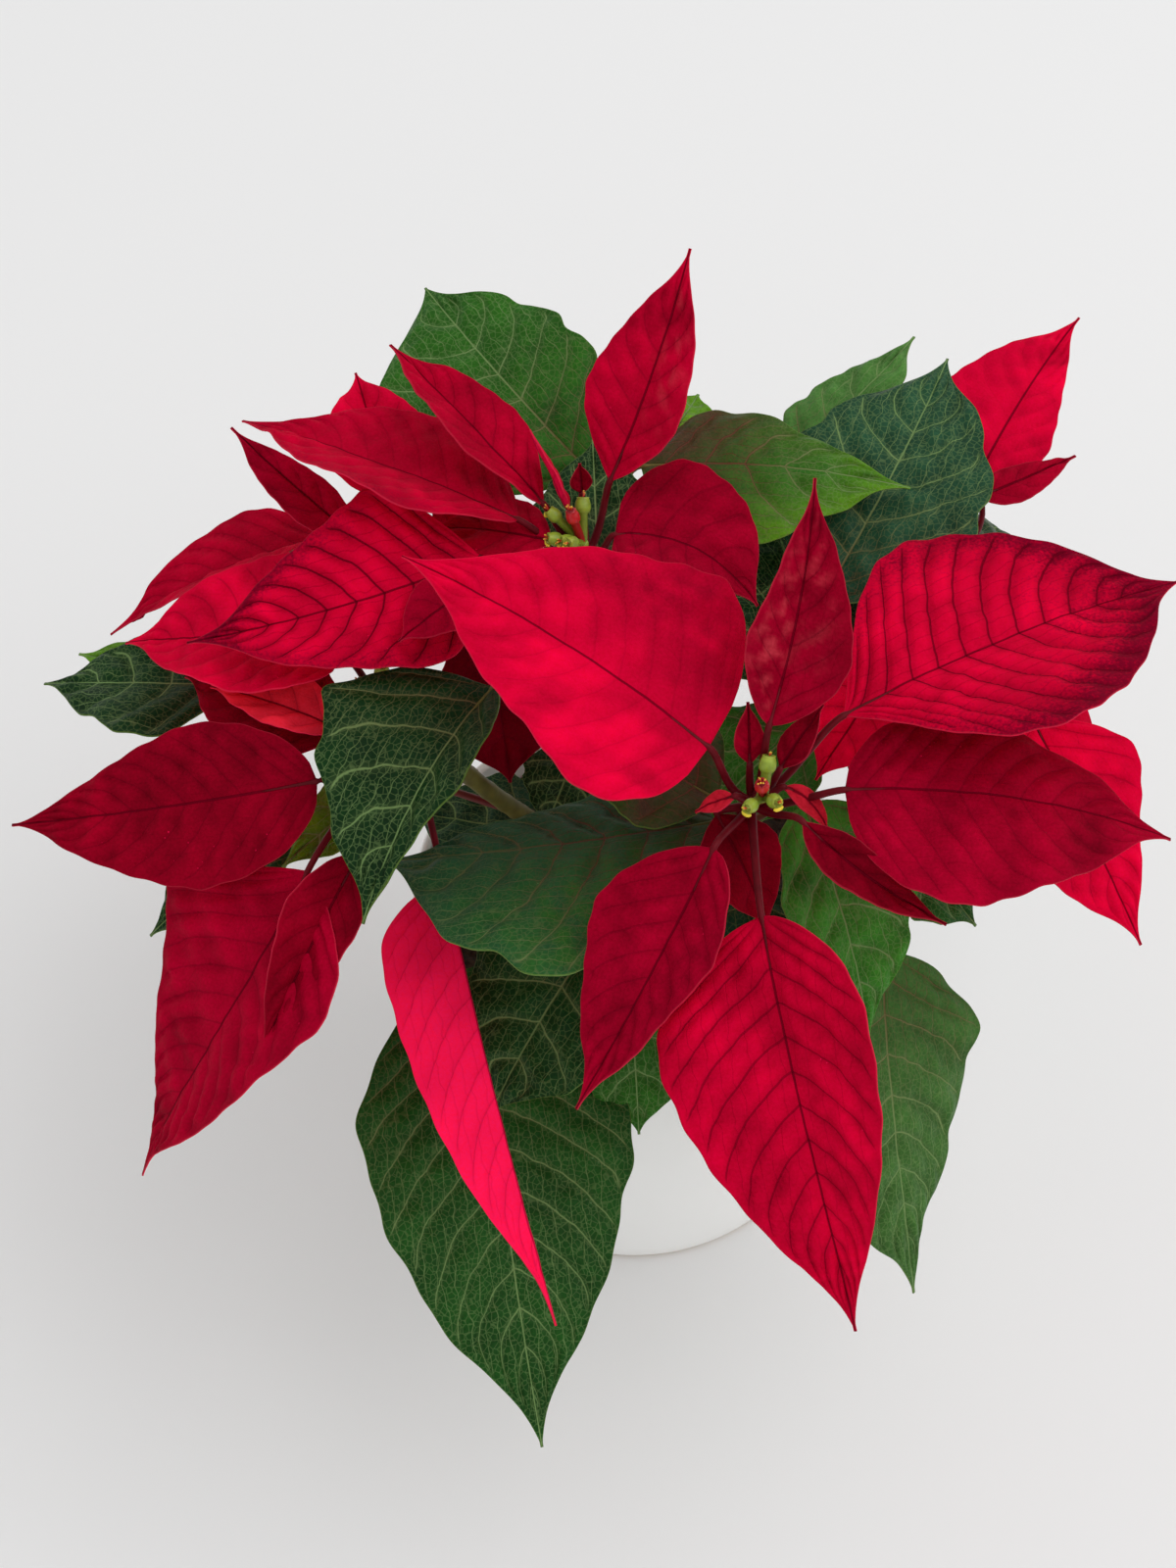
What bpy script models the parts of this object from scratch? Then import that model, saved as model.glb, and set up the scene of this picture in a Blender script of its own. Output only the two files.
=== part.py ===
"""A red poinsettia in a plain white pot, as closed solids.

Frame: +Z up, the pot's foot on z = 0, the pot's axis on x = y = 0.
Row values are in millimetres and degrees, and a heading of 0 points along +X and 90 along +Y.
Five branches stand in the soil, and each carries green leaves, red bracts and a cluster of cups.
"""

import bpy
import numpy as np

MM = 0.001
GAP = 0.3

# Pot and soil
POT_HEIGHT = 140.0
POT_FOOT_RADIUS = 76.0
POT_RIM_RADIUS = 80.0
POT_WALL = 3.6
POT_FLOOR = 6.0
POT_ROUNDING = 1.8
POT_SIDES = 48
SOIL_TOP = 122.0
HOLE_DEPTH = 16.0

# Branches
STEM_RADIUS = 3.2
CORE_RADIUS = 2.2
CORE_LENGTH = 22.0
STEM_SIDES = 8
PETIOLE_RADIUS = 1.35
PETIOLE_SIDES = 4
LEAVING_RISE = 0.2

# Blades
BLADE_THICKNESS = 0.8
LEAST_HALF_WIDTH = 0.6
FOLD_EASING = 8.0
TIP_CURVE_STEPS = 60
LONG_BLADE_STEPS = {"bract": 8, "leaf": 10}

# Cups
CUP_SIDES = 6
CUP_RADIUS = 1.9
CUP_LENGTH = 4.4
CUP_STALK_RADIUS = 0.8


class Stem:
    """One branch axis: a curve from its hole in the soil over a bend to the middle of its head."""

    def __init__(self, root, knee, tip):
        self.root = np.array(root, float)
        self.knee = np.array(knee, float)
        self.tip = np.array(tip, float)

    def points(self, count=200):
        t = np.linspace(0, 1, count)[:, None]
        return (1 - t) ** 2 * self.root + 2 * t * (1 - t) * self.knee + t * t * self.tip

    def below_tip(self, distance):
        path = self.points()
        run = np.r_[0, np.cumsum(np.linalg.norm(np.diff(path, axis=0), axis=1))]
        at = run[-1] - np.asarray(distance, float)
        return np.stack([np.interp(at, run, path[:, k]) for k in range(3)], -1)


STEMS = {
    1: Stem(root=(-2, 14, SOIL_TOP), knee=(-2, 24, 225), tip=(-19, 14, 312)),
    2: Stem(root=(8, -14, SOIL_TOP), knee=(14, -40, 230), tip=(32, -76, 308)),
    3: Stem(root=(-20, 34, SOIL_TOP), knee=(-42, -14, 200), tip=(-80, -19, 280)),
    4: Stem(root=(18, 6, SOIL_TOP), knee=(40, 2, 230), tip=(92, 18, 277)),
    5: Stem(root=(-4, 42, SOIL_TOP), knee=(-32, 42, 205), tip=(-78, 40, 276)),
}

# Each cup's heading, rise and reach from the middle of its head. The first is the largest
CUPS = {
    1: [(90, 47, 12), (150, 39, 13), (-169, 29, 10), (-130, 48, 8), (140, 69, 11), (-155, 40, 7)],
    2: [(76, 54, 10), (-104, 75, 9), (-120, 33, 9), (-63, 44, 9)],
    3: [(90, 75, 9), (180, 45, 8), (-90, 40, 8), (10, 45, 8)],
    4: [(60, 75, 9), (150, 45, 8), (-120, 40, 8), (-20, 45, 8)],
    5: [(120, 75, 9), (-150, 45, 8), (-60, 40, 8), (30, 45, 8)],
}

BLADES = []


def bract(head, where, below, petiole, size, aim, bend=30, sweep=0, roll=0, fold=5,
          shape=(0.36, 1.6, 0.8, 0.0)):
    """Add one red bract.

    below: distance of its stalk under the middle of the head
    petiole: stalk length, heading and rise; size: blade length and width
    aim: heading and rise at the blade's base; bend and sweep: how far rise falls and heading turns
    shape: place of the widest part, fullness to the tip, roundness of the base, unevenness of sides
    """
    BLADES.append(dict(kind="bract", head=head, where=where, below=below, petiole=petiole,
                       size=size, aim=aim, bend=bend, sweep=sweep, roll=roll, fold=fold,
                       shape=shape, lobes=(0, 0.0)))


def leaf(head, where, below, petiole, size, aim, bend=30, sweep=0, roll=0, fold=5,
         shape=(0.34, 1.6, 0.62, 0.0), lobes=(4.5, 0.045)):
    """Add one green leaf: as a bract, with lobes along its margin (how many, how deep)."""
    BLADES.append(dict(kind="leaf", head=head, where=where, below=below, petiole=petiole,
                       size=size, aim=aim, bend=bend, sweep=sweep, roll=roll, fold=fold,
                       shape=shape, lobes=lobes))


def list_blades():
    """Name every bract and leaf of the five branches."""
    # Head 1, the upright one at the back
    bract(1, "up", 5, (25, 57, 58), (73, 33), (51, 53), bend=6, sweep=18, roll=1, fold=14,
          shape=(0.38, 1.4, 0.84, 0.08))
    bract(1, "left_folded", 6, (22, 151, 47), (72, 30), (137, 25), bend=25, sweep=-8, roll=18,
          fold=22, shape=(0.40, 1.6, 0.85, 0.04))
    bract(1, "left_wide", 7, (25, 168, 31), (97, 60), (162, 17), bend=34, sweep=-14, roll=22,
          fold=14, shape=(0.35, 1.5, 0.73, -0.02))
    bract(1, "left_on_edge", 5, (16, 132, 63), (27, 12), (125, 44), bend=10, roll=75)
    bract(1, "middle_small", 6, (20, 95, 28), (10, 7), (100, 75), bend=10)
    bract(1, "right_round", 7, (15, -9, 56), (52, 48), (-8, 21), bend=50, sweep=-45, roll=-1,
          fold=17, shape=(0.31, 1.6, 0.45, 0.11))
    bract(1, "left_veined", 9, (34, -170, 15), (95, 62), (-147, 6), bend=28, sweep=-38, roll=-14,
          fold=11, shape=(0.29, 1.2, 0.83, -0.04))
    bract(1, "left_low_small", 12, (46, -147, 23), (28, 22), (-138, 6), bend=20)
    bract(1, "left_dark", 11, (17, -175, 47), (41, 26), (159, -4), bend=20)
    # Head 2, the nearest one
    bract(2, "over_left", 9, (26, 164, 57), (105, 82), (152, 30), bend=34, sweep=-4, roll=-2,
          fold=9, shape=(0.22, 1.4, 0.45, -0.06))
    bract(2, "up", 7, (26, 72, 68), (71, 33), (68, 40), bend=8, sweep=18, roll=13, fold=24,
          shape=(0.32, 1.2, 0.70, -0.13))
    bract(2, "right_back", 10, (37, 30, 38), (116, 90), (29, 7), bend=18, sweep=-4, roll=-10,
          fold=10, shape=(0.42, 1.6, 1.05, 0.0))
    bract(2, "right_front", 12, (30, -11, 29), (100, 64), (-3, 9), bend=42, sweep=2, roll=3,
          fold=0, shape=(0.32, 1.4, 0.45, -0.15))
    bract(2, "right_folded", 10, (24, -50, 33), (50, 16), (-48, -8), bend=17, sweep=32, roll=13,
          fold=27, shape=(0.36, 1.4, 0.84, -0.13))
    bract(2, "front", 12, (40, -88, 4), (126, 66), (-82, -15), bend=48, sweep=20, roll=34,
          fold=13, shape=(0.28, 1.4, 0.65, -0.13))
    bract(2, "front_left", 11, (25, -120, 18), (84, 42), (-117, -21), bend=22, sweep=-13,
          roll=11, fold=16, shape=(0.35, 1.3, 0.60, -0.14))
    bract(2, "small_up", 9, (13, 105, 64), (19, 9), (96, 64), bend=10)
    bract(2, "small_right", 9, (14, 30, 53), (22, 10), (46, 44), bend=10)
    bract(2, "curl_left", 5, (9, -162, 35), (13, 7), (-177, -19))
    bract(2, "curl_right", 5, (9, 10, 30), (19, 7), (-18, -5), bend=50, sweep=-40)
    bract(2, "low_dark", 13, (10, -165, -6), (37, 26), (-60, -20), bend=30)
    # Head 3, low on the left
    bract(3, "left_blunt", 10, (27, 163, 52), (78, 54), (166, 3), bend=36, sweep=-5, roll=-1,
          fold=13, shape=(0.34, 1.6, 0.45, -0.15))
    bract(3, "left", 14, (46, -124, 21), (105, 51), (-172, -8), bend=22, sweep=-25, roll=-24,
          fold=2, shape=(0.36, 1.2, 0.47, 0.05))
    bract(3, "front_drooping", 16, (65, -115, 4), (126, 79), (-120, -28), bend=44, sweep=-41,
          roll=14, fold=6, shape=(0.26, 1.1, 0.80, -0.12))
    bract(3, "front_folded", 14, (59, -101, 9), (66, 26), (-119, -18), bend=18, roll=-16, fold=30,
          shape=(0.35, 1.3, 0.65, -0.05))
    bract(3, "left_pink_back", 12, (28, -137, 31), (45, 22), (156, 12), fold=20)
    bract(3, "left_dark", 16, (29, -141, 26), (58, 40), (150, 9))
    bract(3, "front_hanging", 14, (53, -75, -27), (140, 50), (-78, -7), bend=13, sweep=6,
          roll=117, fold=70, shape=(0.16, 2.0, 0.50, 0.0))
    # Head 4, low on the right
    bract(4, "back_right", 12, (65, 67, -1), (87, 44), (63, 11), bend=16, sweep=-6, roll=10,
          fold=3, shape=(0.31, 1.2, 0.79, 0.23))
    bract(4, "right_narrow", 12, (52, 60, 17), (44, 14), (25, 0), bend=22, sweep=21, roll=9,
          fold=-2, shape=(0.29, 1.3, 0.57, -0.08))
    bract(4, "front_right", 14, (48, -42, 6), (84, 57), (-67, -14), bend=36, sweep=17, roll=-1,
          fold=0, shape=(0.33, 1.2, 1.14, -0.06))
    bract(4, "back_small", 16, (73, 63, -6), (48, 22), (108, 27), bend=20)
    bract(4, "under_right", 14, (29, -37, 1), (58, 44), (-31, -16), bend=35)
    bract(4, "under_back", 12, (34, 86, -1), (42, 40), (104, 12), bend=40)
    bract(4, "front_left_turned", 14, (20, -109, 8), (41, 30), (-126, -7), bend=20)
    # Head 5, low at the back on the left
    bract(5, "left_long", 12, (30, 158, 16), (83, 42), (-166, -1), bend=33, sweep=5, roll=25,
          fold=19, shape=(0.38, 1.4, 0.84, -0.06))
    bract(5, "left_narrow", 10, (30, -159, 53), (55, 18), (149, 25), bend=16, sweep=-15, roll=-9,
          fold=18, shape=(0.35, 1.5, 0.81, 0.12))
    bract(5, "back", 10, (27, 132, 62), (51, 37), (102, 18), bend=19, sweep=4, roll=-3, fold=19,
          shape=(0.36, 1.5, 0.80, 0.0))
    bract(5, "under_back", 12, (22, 95, 27), (52, 40), (75, 9), bend=50)
    bract(5, "under_left", 14, (22, -150, 21), (31, 38), (-163, -12), bend=40)
    bract(5, "under_right", 16, (12, 60, 40), (38, 36), (40, 8), bend=40)
    bract(5, "front_dark", 14, (24, -33, 0), (57, 40), (-79, -41), bend=10, fold=15,
          shape=(0.45, 2.4, 0.80, 0.0))
    # Leaves of branch 1
    leaf(1, "back_left", 45, (54, 97, 19), (96, 73), (135, 18), bend=29, sweep=-19, roll=-16,
         shape=(0.39, 1.9, 0.60, 0.22))
    leaf(1, "right", 35, (51, 75, 16), (87, 58), (-4, 11), bend=25, sweep=-2, roll=4, fold=-4,
         shape=(0.35, 1.1, 0.64, -0.19))
    leaf(1, "back_low", 90, (60, 88, 11), (106, 60), (77, -18), bend=50)
    leaf(1, "back_bright", 60, (92, 76, 6), (18, 24), (64, 10), bend=20, lobes=(0, 0.0))
    leaf(1, "front_left", 34, (64, -123, 22), (83, 57), (-125, 5), bend=42, sweep=14, roll=16,
         fold=20, shape=(0.33, 1.3, 0.72, -0.40))
    leaf(1, "under_head", 27, (7, 90, 16), (50, 42), (92, 12), bend=6)
    # Leaves of branch 2
    leaf(2, "left_under", 75, (44, -140, -5), (68, 60), (-129, -22))
    leaf(2, "front_bright", 95, (40, -129, -31), (57, 48), (-84, -31), bend=35)
    leaf(2, "front_right", 60, (29, 14, 17), (80, 49), (-65, -26), bend=41, sweep=-2, roll=-13,
         fold=8, shape=(0.34, 1.6, 0.51, 0.16))
    leaf(2, "left", 34, (5, -179, -14), (107, 78), (-171, -4), bend=24, sweep=-24, roll=18,
         fold=-5, shape=(0.37, 1.7, 0.48, 0.39))
    leaf(2, "left_back", 28, (8, 142, 8), (50, 46), (150, 12), bend=12, lobes=(0, 0.0))
    leaf(2, "front_largest", 95, (79, -166, -25), (159, 88), (-85, -13), bend=36, sweep=8,
         roll=-7, shape=(0.34, 1.6, 0.64, 0.0), lobes=(4.8, 0.02))
    leaf(2, "under_head", 34, (42, -68, -40), (48, 42), (-70, -34))
    leaf(2, "deep", 85, (20, -30, 0), (42, 40), (-95, -20), bend=30)
    # Leaves of branch 3
    leaf(3, "left", 40, (71, 163, 7), (69, 58), (176, -2), bend=24, sweep=-15, roll=11,
         shape=(0.37, 1.1, 0.67, -0.03))
    leaf(3, "left_low", 60, (62, -155, 6), (59, 38), (-155, -14))
    leaf(3, "left_yellow", 45, (26, -134, 24), (44, 26), (-146, -1), lobes=(0, 0.0))
    leaf(3, "far_left", 100, (115, 165, 16), (48, 26), (155, 0), bend=20)
    leaf(3, "under", 128, (6, 174, -64), (47, 44), (162, -6), bend=8, lobes=(0, 0.0))
    # Leaves of branch 4
    leaf(4, "front_right_low", 80, (79, -68, -4), (124, 80), (-88, -34), bend=35, sweep=21,
         roll=-24, fold=-5, shape=(0.27, 1.2, 0.52, -0.07))
    leaf(4, "front_left", 62, (10, -100, 60), (58, 44), (-140, -8), bend=30)
    leaf(4, "right_under", 50, (49, -71, -11), (44, 40), (-33, -18))
    leaf(4, "middle_dark", 75, (34, 29, 74), (70, 64), (124, 20), bend=20)
    leaf(4, "back_right_low", 55, (82, 45, -2), (91, 58), (48, -22), bend=45)
    leaf(4, "right_low", 70, (62, -2, -6), (72, 56), (-9, -29), bend=45)
    leaf(4, "back_light", 50, (92, 97, 10), (69, 34), (39, 15), bend=15, sweep=16, roll=-9,
         fold=1, shape=(0.30, 1.5, 0.58, -0.06))
    leaf(4, "back_dark", 60, (44, 90, 72), (110, 71), (58, 19), bend=26, sweep=12, roll=-4,
         fold=6, shape=(0.39, 1.6, 0.83, 0.01))
    # Leaves of branch 5
    leaf(5, "back_left_low", 45, (56, 132, -8), (91, 56), (127, -25), bend=45)
    leaf(5, "back_low", 75, (45, 95, -8), (94, 60), (124, -23), bend=45)
    leaf(5, "front_dark", 72, (39, -57, 1), (31, 30), (-111, -9), bend=12)


def unit(vectors):
    """Scale vectors to length one."""
    return vectors / np.linalg.norm(vectors, axis=-1, keepdims=True)


def direction(heading, rise):
    """Turn a heading and a rise in degrees into a direction."""
    h, r = np.radians(heading), np.radians(rise)
    return np.stack([np.cos(r) * np.cos(h), np.cos(r) * np.sin(h), np.sin(r) + 0 * h], -1)


def blade_base(row):
    """Place a blade's base at the end of its straight-line stalk."""
    length, heading, rise = row["petiole"]
    return STEMS[row["head"]].below_tip(row["below"]) + length * direction(heading, rise)


def blade_frame(row, t):
    """Give the midrib's direction, the blade's side and its upward normal at t from base to tip."""
    heading = row["aim"][0] + row["sweep"] * t
    rise = row["aim"][1] - row["bend"] * t
    along = direction(heading, rise)
    h = np.radians(heading)
    side = np.stack([-np.sin(h), np.cos(h), 0 * h], -1)
    up = np.cross(along, side)
    roll = np.radians(row["roll"])
    return along, side * np.cos(roll) + up * np.sin(roll), up * np.cos(roll) - side * np.sin(roll)


def midrib(row, t):
    """Add up the midrib's direction over its length, which gives its points at t."""
    steps = (np.arange(TIP_CURVE_STEPS) + 0.5) / TIP_CURVE_STEPS
    along = blade_frame(row, steps)[0] * row["size"][0] / TIP_CURVE_STEPS
    path = np.vstack([np.zeros(3), np.cumsum(along, axis=0)]) + blade_base(row)
    grid = np.linspace(0, 1, TIP_CURVE_STEPS + 1)
    return np.stack([np.interp(t, grid, path[:, k]) for k in range(3)], -1)


def half_width(row, t):
    """Outline: a quarter sine up to the widest part, then a power fall with a drawn-out tip."""
    peak, fullness, roundness, _ = row["shape"]
    rise = np.sin(np.pi / 2 * np.clip(t / peak, 0, 1)) ** roundness
    past = np.clip((t - peak) / (1 - peak), 0, 1)
    fall = (1 - past ** fullness) * (1 - 0.45 * past ** 4)
    return np.where(t < peak, rise, fall) * row["size"][1] / 2


def fold_angle(row, t):
    """Give the fold of each half in radians at t. It eases off where the blade is narrow."""
    return np.radians(row["fold"]) * np.clip(half_width(row, t) / FOLD_EASING, 0, 1)


def blade_grid(row, lengthwise, crosswise=2):
    """Lay points over a blade's middle surface, as (along, across, xyz)."""
    t = np.linspace(0, 1, lengthwise + 1)
    s = np.linspace(-1, 1, crosswise + 1)
    _, side, up = blade_frame(row, t)
    count, depth = row["lobes"]
    lobed = 1 + depth * np.sin(2 * np.pi * count * t[:, None] + 1.2 * np.sign(s))
    uneven = 1 + row["shape"][3] * np.sign(s)
    width = np.maximum(half_width(row, t)[:, None] * lobed * uneven, LEAST_HALF_WIDTH)
    fold = fold_angle(row, t)[:, None]
    across = (width * s * np.cos(fold))[:, :, None]
    lift = (width * np.abs(s) * np.sin(fold))[:, :, None]
    return midrib(row, t)[:, None, :] + side[:, None, :] * across + up[:, None, :] * lift


def petiole_curve(row, count, inlay=0.1):
    """Bend a stalk from just beside the stem's axis into the blade, with inlay of the midrib."""
    start = STEMS[row["head"]].below_tip(row["below"])
    end = blade_base(row)
    span = np.linalg.norm(end - start)
    leave = direction(row["petiole"][1], LEAVING_RISE * row["petiole"][2])
    arrive = direction(row["aim"][0], row["aim"][1])
    start = start + leave * 0.9
    t = np.linspace(0, 1, count)[:, None]
    curve = ((2 * t ** 3 - 3 * t ** 2 + 1) * start + (t ** 3 - 2 * t ** 2 + t) * span * leave
             + (3 * t ** 2 - 2 * t ** 3) * end + (t ** 3 - t ** 2) * span * 0.6 * arrive)
    return np.vstack([curve, midrib(row, np.array([inlay]))])


def shell(grid, normal, thickness):
    """Close a sheet of points into a thin solid whose two faces are split alike."""
    rows, columns = grid.shape[0] - 1, grid.shape[1] - 1
    top = (grid + normal * thickness / 2).reshape(-1, 3)
    bottom = (grid - normal * thickness / 2).reshape(-1, 3)
    index = np.arange(len(top)).reshape(rows + 1, columns + 1)
    a, b = index[:-1, :-1].ravel(), index[1:, :-1].ravel()
    c, d = index[1:, 1:].ravel(), index[:-1, 1:].ravel()
    left = (np.tile(np.arange(columns), rows) < columns // 2)[:, None]
    one = np.where(left, np.stack([a, b, c], 1), np.stack([a, b, d], 1))
    two = np.where(left, np.stack([a, c, d], 1), np.stack([b, c, d], 1))
    upper = np.vstack([one, two])
    lower = upper[:, ::-1] + len(top)
    ring = np.r_[index[:, 0], index[-1, 1:], index[-2::-1, -1], index[0, -2:0:-1]]
    after = np.roll(ring, -1)
    under, under_after = ring + len(top), after + len(top)
    rim = np.vstack([np.stack([ring, under, under_after], 1), np.stack([ring, under_after, after], 1)])
    return np.vstack([top, bottom]), np.vstack([upper, lower, rim])


def blade_solid(row, lengthwise):
    """Thicken a blade's middle surface into a closed solid, more at a sharp fold."""
    grid = blade_grid(row, lengthwise)
    along = np.gradient(grid, axis=0)
    across = np.gradient(grid, axis=1)
    thickness = np.full(grid.shape[:2] + (1,), BLADE_THICKNESS)
    thickness[:, 1, 0] /= np.cos(fold_angle(row, np.linspace(0, 1, lengthwise + 1)))
    return shell(grid, unit(np.cross(along, across)), thickness)


def tube_solid(path, radius, sides):
    """Sweep a round section along a path and close both ends."""
    path = np.asarray(path, float)
    along = unit(np.gradient(path, axis=0))
    reference = np.array([0.99, 0.1, 0.05]) if abs(along[0, 1]) > 0.8 else np.array([0.13, 0.99, 0.05])
    first = unit(np.cross(along, reference))
    second = np.cross(along, first)
    angle = 2 * np.pi * np.arange(sides) / sides
    radius = np.broadcast_to(np.asarray(radius, float), (len(path),))[:, None, None]
    round_off = first[:, None] * np.cos(angle)[:, None] + second[:, None] * np.sin(angle)[:, None]
    rings = (path[:, None] + radius * round_off).reshape(-1, 3)
    points = np.vstack([rings, path[:1], path[-1:]])
    step = np.arange(len(path) - 1)[:, None] * sides
    here = np.arange(sides)[None, :]
    beside = (here + 1) % sides
    a, b = (step + here).ravel(), (step + beside).ravel()
    c, d = b + sides, a + sides
    last = (len(path) - 1) * sides
    here, beside = here.ravel(), beside.ravel()
    start_cap = np.stack([0 * here + len(rings), beside, here], 1)
    end_cap = np.stack([0 * here + len(rings) + 1, last + here, last + beside], 1)
    faces = np.vstack([np.stack([a, b, c], 1), np.stack([a, c, d], 1), start_cap, end_cap])
    return points, faces


def lathe_solid(profile, sides):
    """Turn a profile of (radius, height), which starts and ends on the axis, about the z axis."""
    profile = np.asarray(profile, float)
    angle = 2 * np.pi * np.arange(sides) / sides
    middle = profile[1:-1]
    rings = np.stack([middle[:, :1] * np.cos(angle), middle[:, :1] * np.sin(angle),
                      middle[:, 1:] + 0 * angle], -1).reshape(-1, 3)
    points = np.vstack([rings, [[0, 0, profile[0, 1]], [0, 0, profile[-1, 1]]]])
    step = np.arange(len(middle) - 1)[:, None] * sides
    here = np.arange(sides)[None, :]
    beside = (here + 1) % sides
    a, b = (step + here).ravel(), (step + beside).ravel()
    c, d = b + sides, a + sides
    last = (len(middle) - 1) * sides
    here, beside = here.ravel(), beside.ravel()
    start_cap = np.stack([0 * here + len(rings), beside, here], 1)
    end_cap = np.stack([0 * here + len(rings) + 1, last + here, last + beside], 1)
    return points, np.vstack([np.stack([a, b, c], 1), np.stack([a, c, d], 1), start_cap, end_cap])


def add_mesh(name, solid):
    """Make a mesh object in metres from points in millimetres, with its faces outward."""
    points, faces = solid
    corners = points[faces]
    volume = np.einsum("ij,ij->i", corners[:, 0], np.cross(corners[:, 1], corners[:, 2])).sum()
    if volume < 0:
        faces = faces[:, ::-1]
    mesh = bpy.data.meshes.new(name)
    mesh.from_pydata((points * MM).tolist(), [], faces.tolist())
    mesh.update()
    part = bpy.data.objects.new(name, mesh)
    bpy.context.scene.collection.objects.link(part)
    return part


def apply_modifiers(part):
    """Bake an object's modifiers into its mesh."""
    bpy.context.view_layer.update()
    graph = bpy.context.evaluated_depsgraph_get()
    baked = bpy.data.meshes.new_from_object(part.evaluated_get(graph))
    part.modifiers.clear()
    part.data = baked


def join(name, solids, operation="UNION"):
    """Join closed solids into one body with a single Boolean over a collection."""
    body = add_mesh(name, solids[0])
    others = bpy.data.collections.new(name + "_others")
    helpers = [add_mesh(f"{name}_piece_{k}", solid) for k, solid in enumerate(solids[1:])]
    for helper in helpers:
        others.objects.link(helper)
        helper.hide_render = True
    boolean = body.modifiers.new("join", "BOOLEAN")
    boolean.operation = operation
    boolean.solver = "MANIFOLD"
    boolean.operand_type = "COLLECTION"
    boolean.collection = others
    apply_modifiers(body)
    for helper in helpers:
        bpy.data.objects.remove(helper, do_unlink=True)
    bpy.data.collections.remove(others)
    return body


def rounded(centre, radius, start, end, steps=2):
    """Give arc points about a centre between two angles in degrees, as (radius, height)."""
    angle = np.radians(np.linspace(start, end, steps + 1))
    return [(centre[0] + radius * np.cos(a), centre[1] + radius * np.sin(a)) for a in angle]


def make_pot():
    """Turn the pot: a flat foot, a slightly flared wall and a rounded rim."""
    foot_arc = rounded((POT_FOOT_RADIUS - POT_ROUNDING, POT_ROUNDING), POT_ROUNDING, -90, 0)
    rim_radius = POT_WALL / 2
    rim_arc = rounded((POT_RIM_RADIUS - rim_radius, POT_HEIGHT - rim_radius), rim_radius, 0, 180, 3)
    floor_radius = POT_FOOT_RADIUS - POT_WALL
    profile = [(0, 0)] + foot_arc + rim_arc + [(floor_radius, POT_FLOOR), (0, POT_FLOOR)]
    return add_mesh("pot", lathe_solid(profile, POT_SIDES))


def inner_radius(height):
    """Give the pot's inside radius at a height."""
    share = (height - POT_FLOOR) / (POT_HEIGHT - POT_WALL / 2 - POT_FLOOR)
    low, high = POT_FOOT_RADIUS - POT_WALL, POT_RIM_RADIUS - POT_WALL
    return low + (high - low) * share


def make_soil():
    """Fill the pot with soil, with one plain hole for each branch."""
    bottom = POT_FLOOR + GAP
    spare = 3 * GAP
    plug = lathe_solid([(0, bottom), (inner_radius(bottom) - spare, bottom),
                        (inner_radius(SOIL_TOP) - spare, SOIL_TOP), (0, SOIL_TOP)], POT_SIDES)
    holes = []
    for stem in STEMS.values():
        path = [stem.root - [0, 0, HOLE_DEPTH], stem.root + [0, 0, 5]]
        holes.append(tube_solid(path, STEM_RADIUS + 2 * GAP, 8))
    return join("soil", [plug] + holes, "DIFFERENCE")


def stem_solid(stem):
    """Run a branch's stem from the bottom of its hole to just under the bracts' core."""
    length = np.linalg.norm(np.diff(stem.points(), axis=0), axis=1).sum()
    upper = stem.below_tip(np.linspace(length - 2, CORE_LENGTH, 11))
    foot = stem.root - [0, 0, HOLE_DEPTH - GAP]
    return tube_solid(np.vstack([foot, stem.root + [0, 0, 0.5], upper]), STEM_RADIUS, STEM_SIDES)


def core_solid(stem):
    """Run the head's short red core from just over the stem to the middle of the head."""
    path = stem.below_tip(np.linspace(CORE_LENGTH - GAP, 0, 5))
    return tube_solid(path, np.linspace(CORE_RADIUS, 1.8, 5), STEM_SIDES)


def blades_of(head, kind):
    """Make the solids of one branch's leaves or bracts with their stalks."""
    solids = []
    for row in BLADES:
        if row["head"] != head or row["kind"] != kind:
            continue
        lengthwise = 5 if row["size"][0] < 60 else LONG_BLADE_STEPS[kind]
        solids.append(blade_solid(row, lengthwise))
        path = petiole_curve(row, 3)
        radius = np.linspace(PETIOLE_RADIUS, 0.75 * PETIOLE_RADIUS, len(path))
        solids.append(tube_solid(path, radius, PETIOLE_SIDES))
    return solids


def make_cups(head):
    """Fan stalked cups from a small base just over the core's end."""
    stem = STEMS[head]
    up = unit(stem.tip - stem.below_tip(8))
    seat = stem.tip + up * GAP
    solids = [tube_solid([seat, seat + up * 1.8], [1.9, 1.6], STEM_SIDES)]
    for rank, (heading, rise, reach) in enumerate(CUPS[head]):
        out = direction(heading, rise)
        scale = 1.0 if rank else 1.15
        start = seat + up * (0.9 + 0.05 * rank)
        middle = seat + out * reach
        toward = unit(middle - start)
        half = CUP_LENGTH * scale / 2
        path = np.array([start, middle - toward * half, middle, middle + toward * half])
        radii = scale * np.array([CUP_STALK_RADIUS, CUP_STALK_RADIUS, CUP_RADIUS, 1.2])
        solids.append(tube_solid(path, radii, CUP_SIDES))
    return join(f"cyathia_{head}", solids)


def main():
    """Build the pot, the soil and the five branches with their heads."""
    for part in list(bpy.data.objects):
        bpy.data.objects.remove(part, do_unlink=True)
    list_blades()
    make_pot()
    make_soil()
    for head, stem in STEMS.items():
        join(f"branch_{head}", [stem_solid(stem)] + blades_of(head, "leaf"))
        join(f"bracts_{head}", [core_solid(stem)] + blades_of(head, "bract"))
        make_cups(head)


main()
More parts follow.
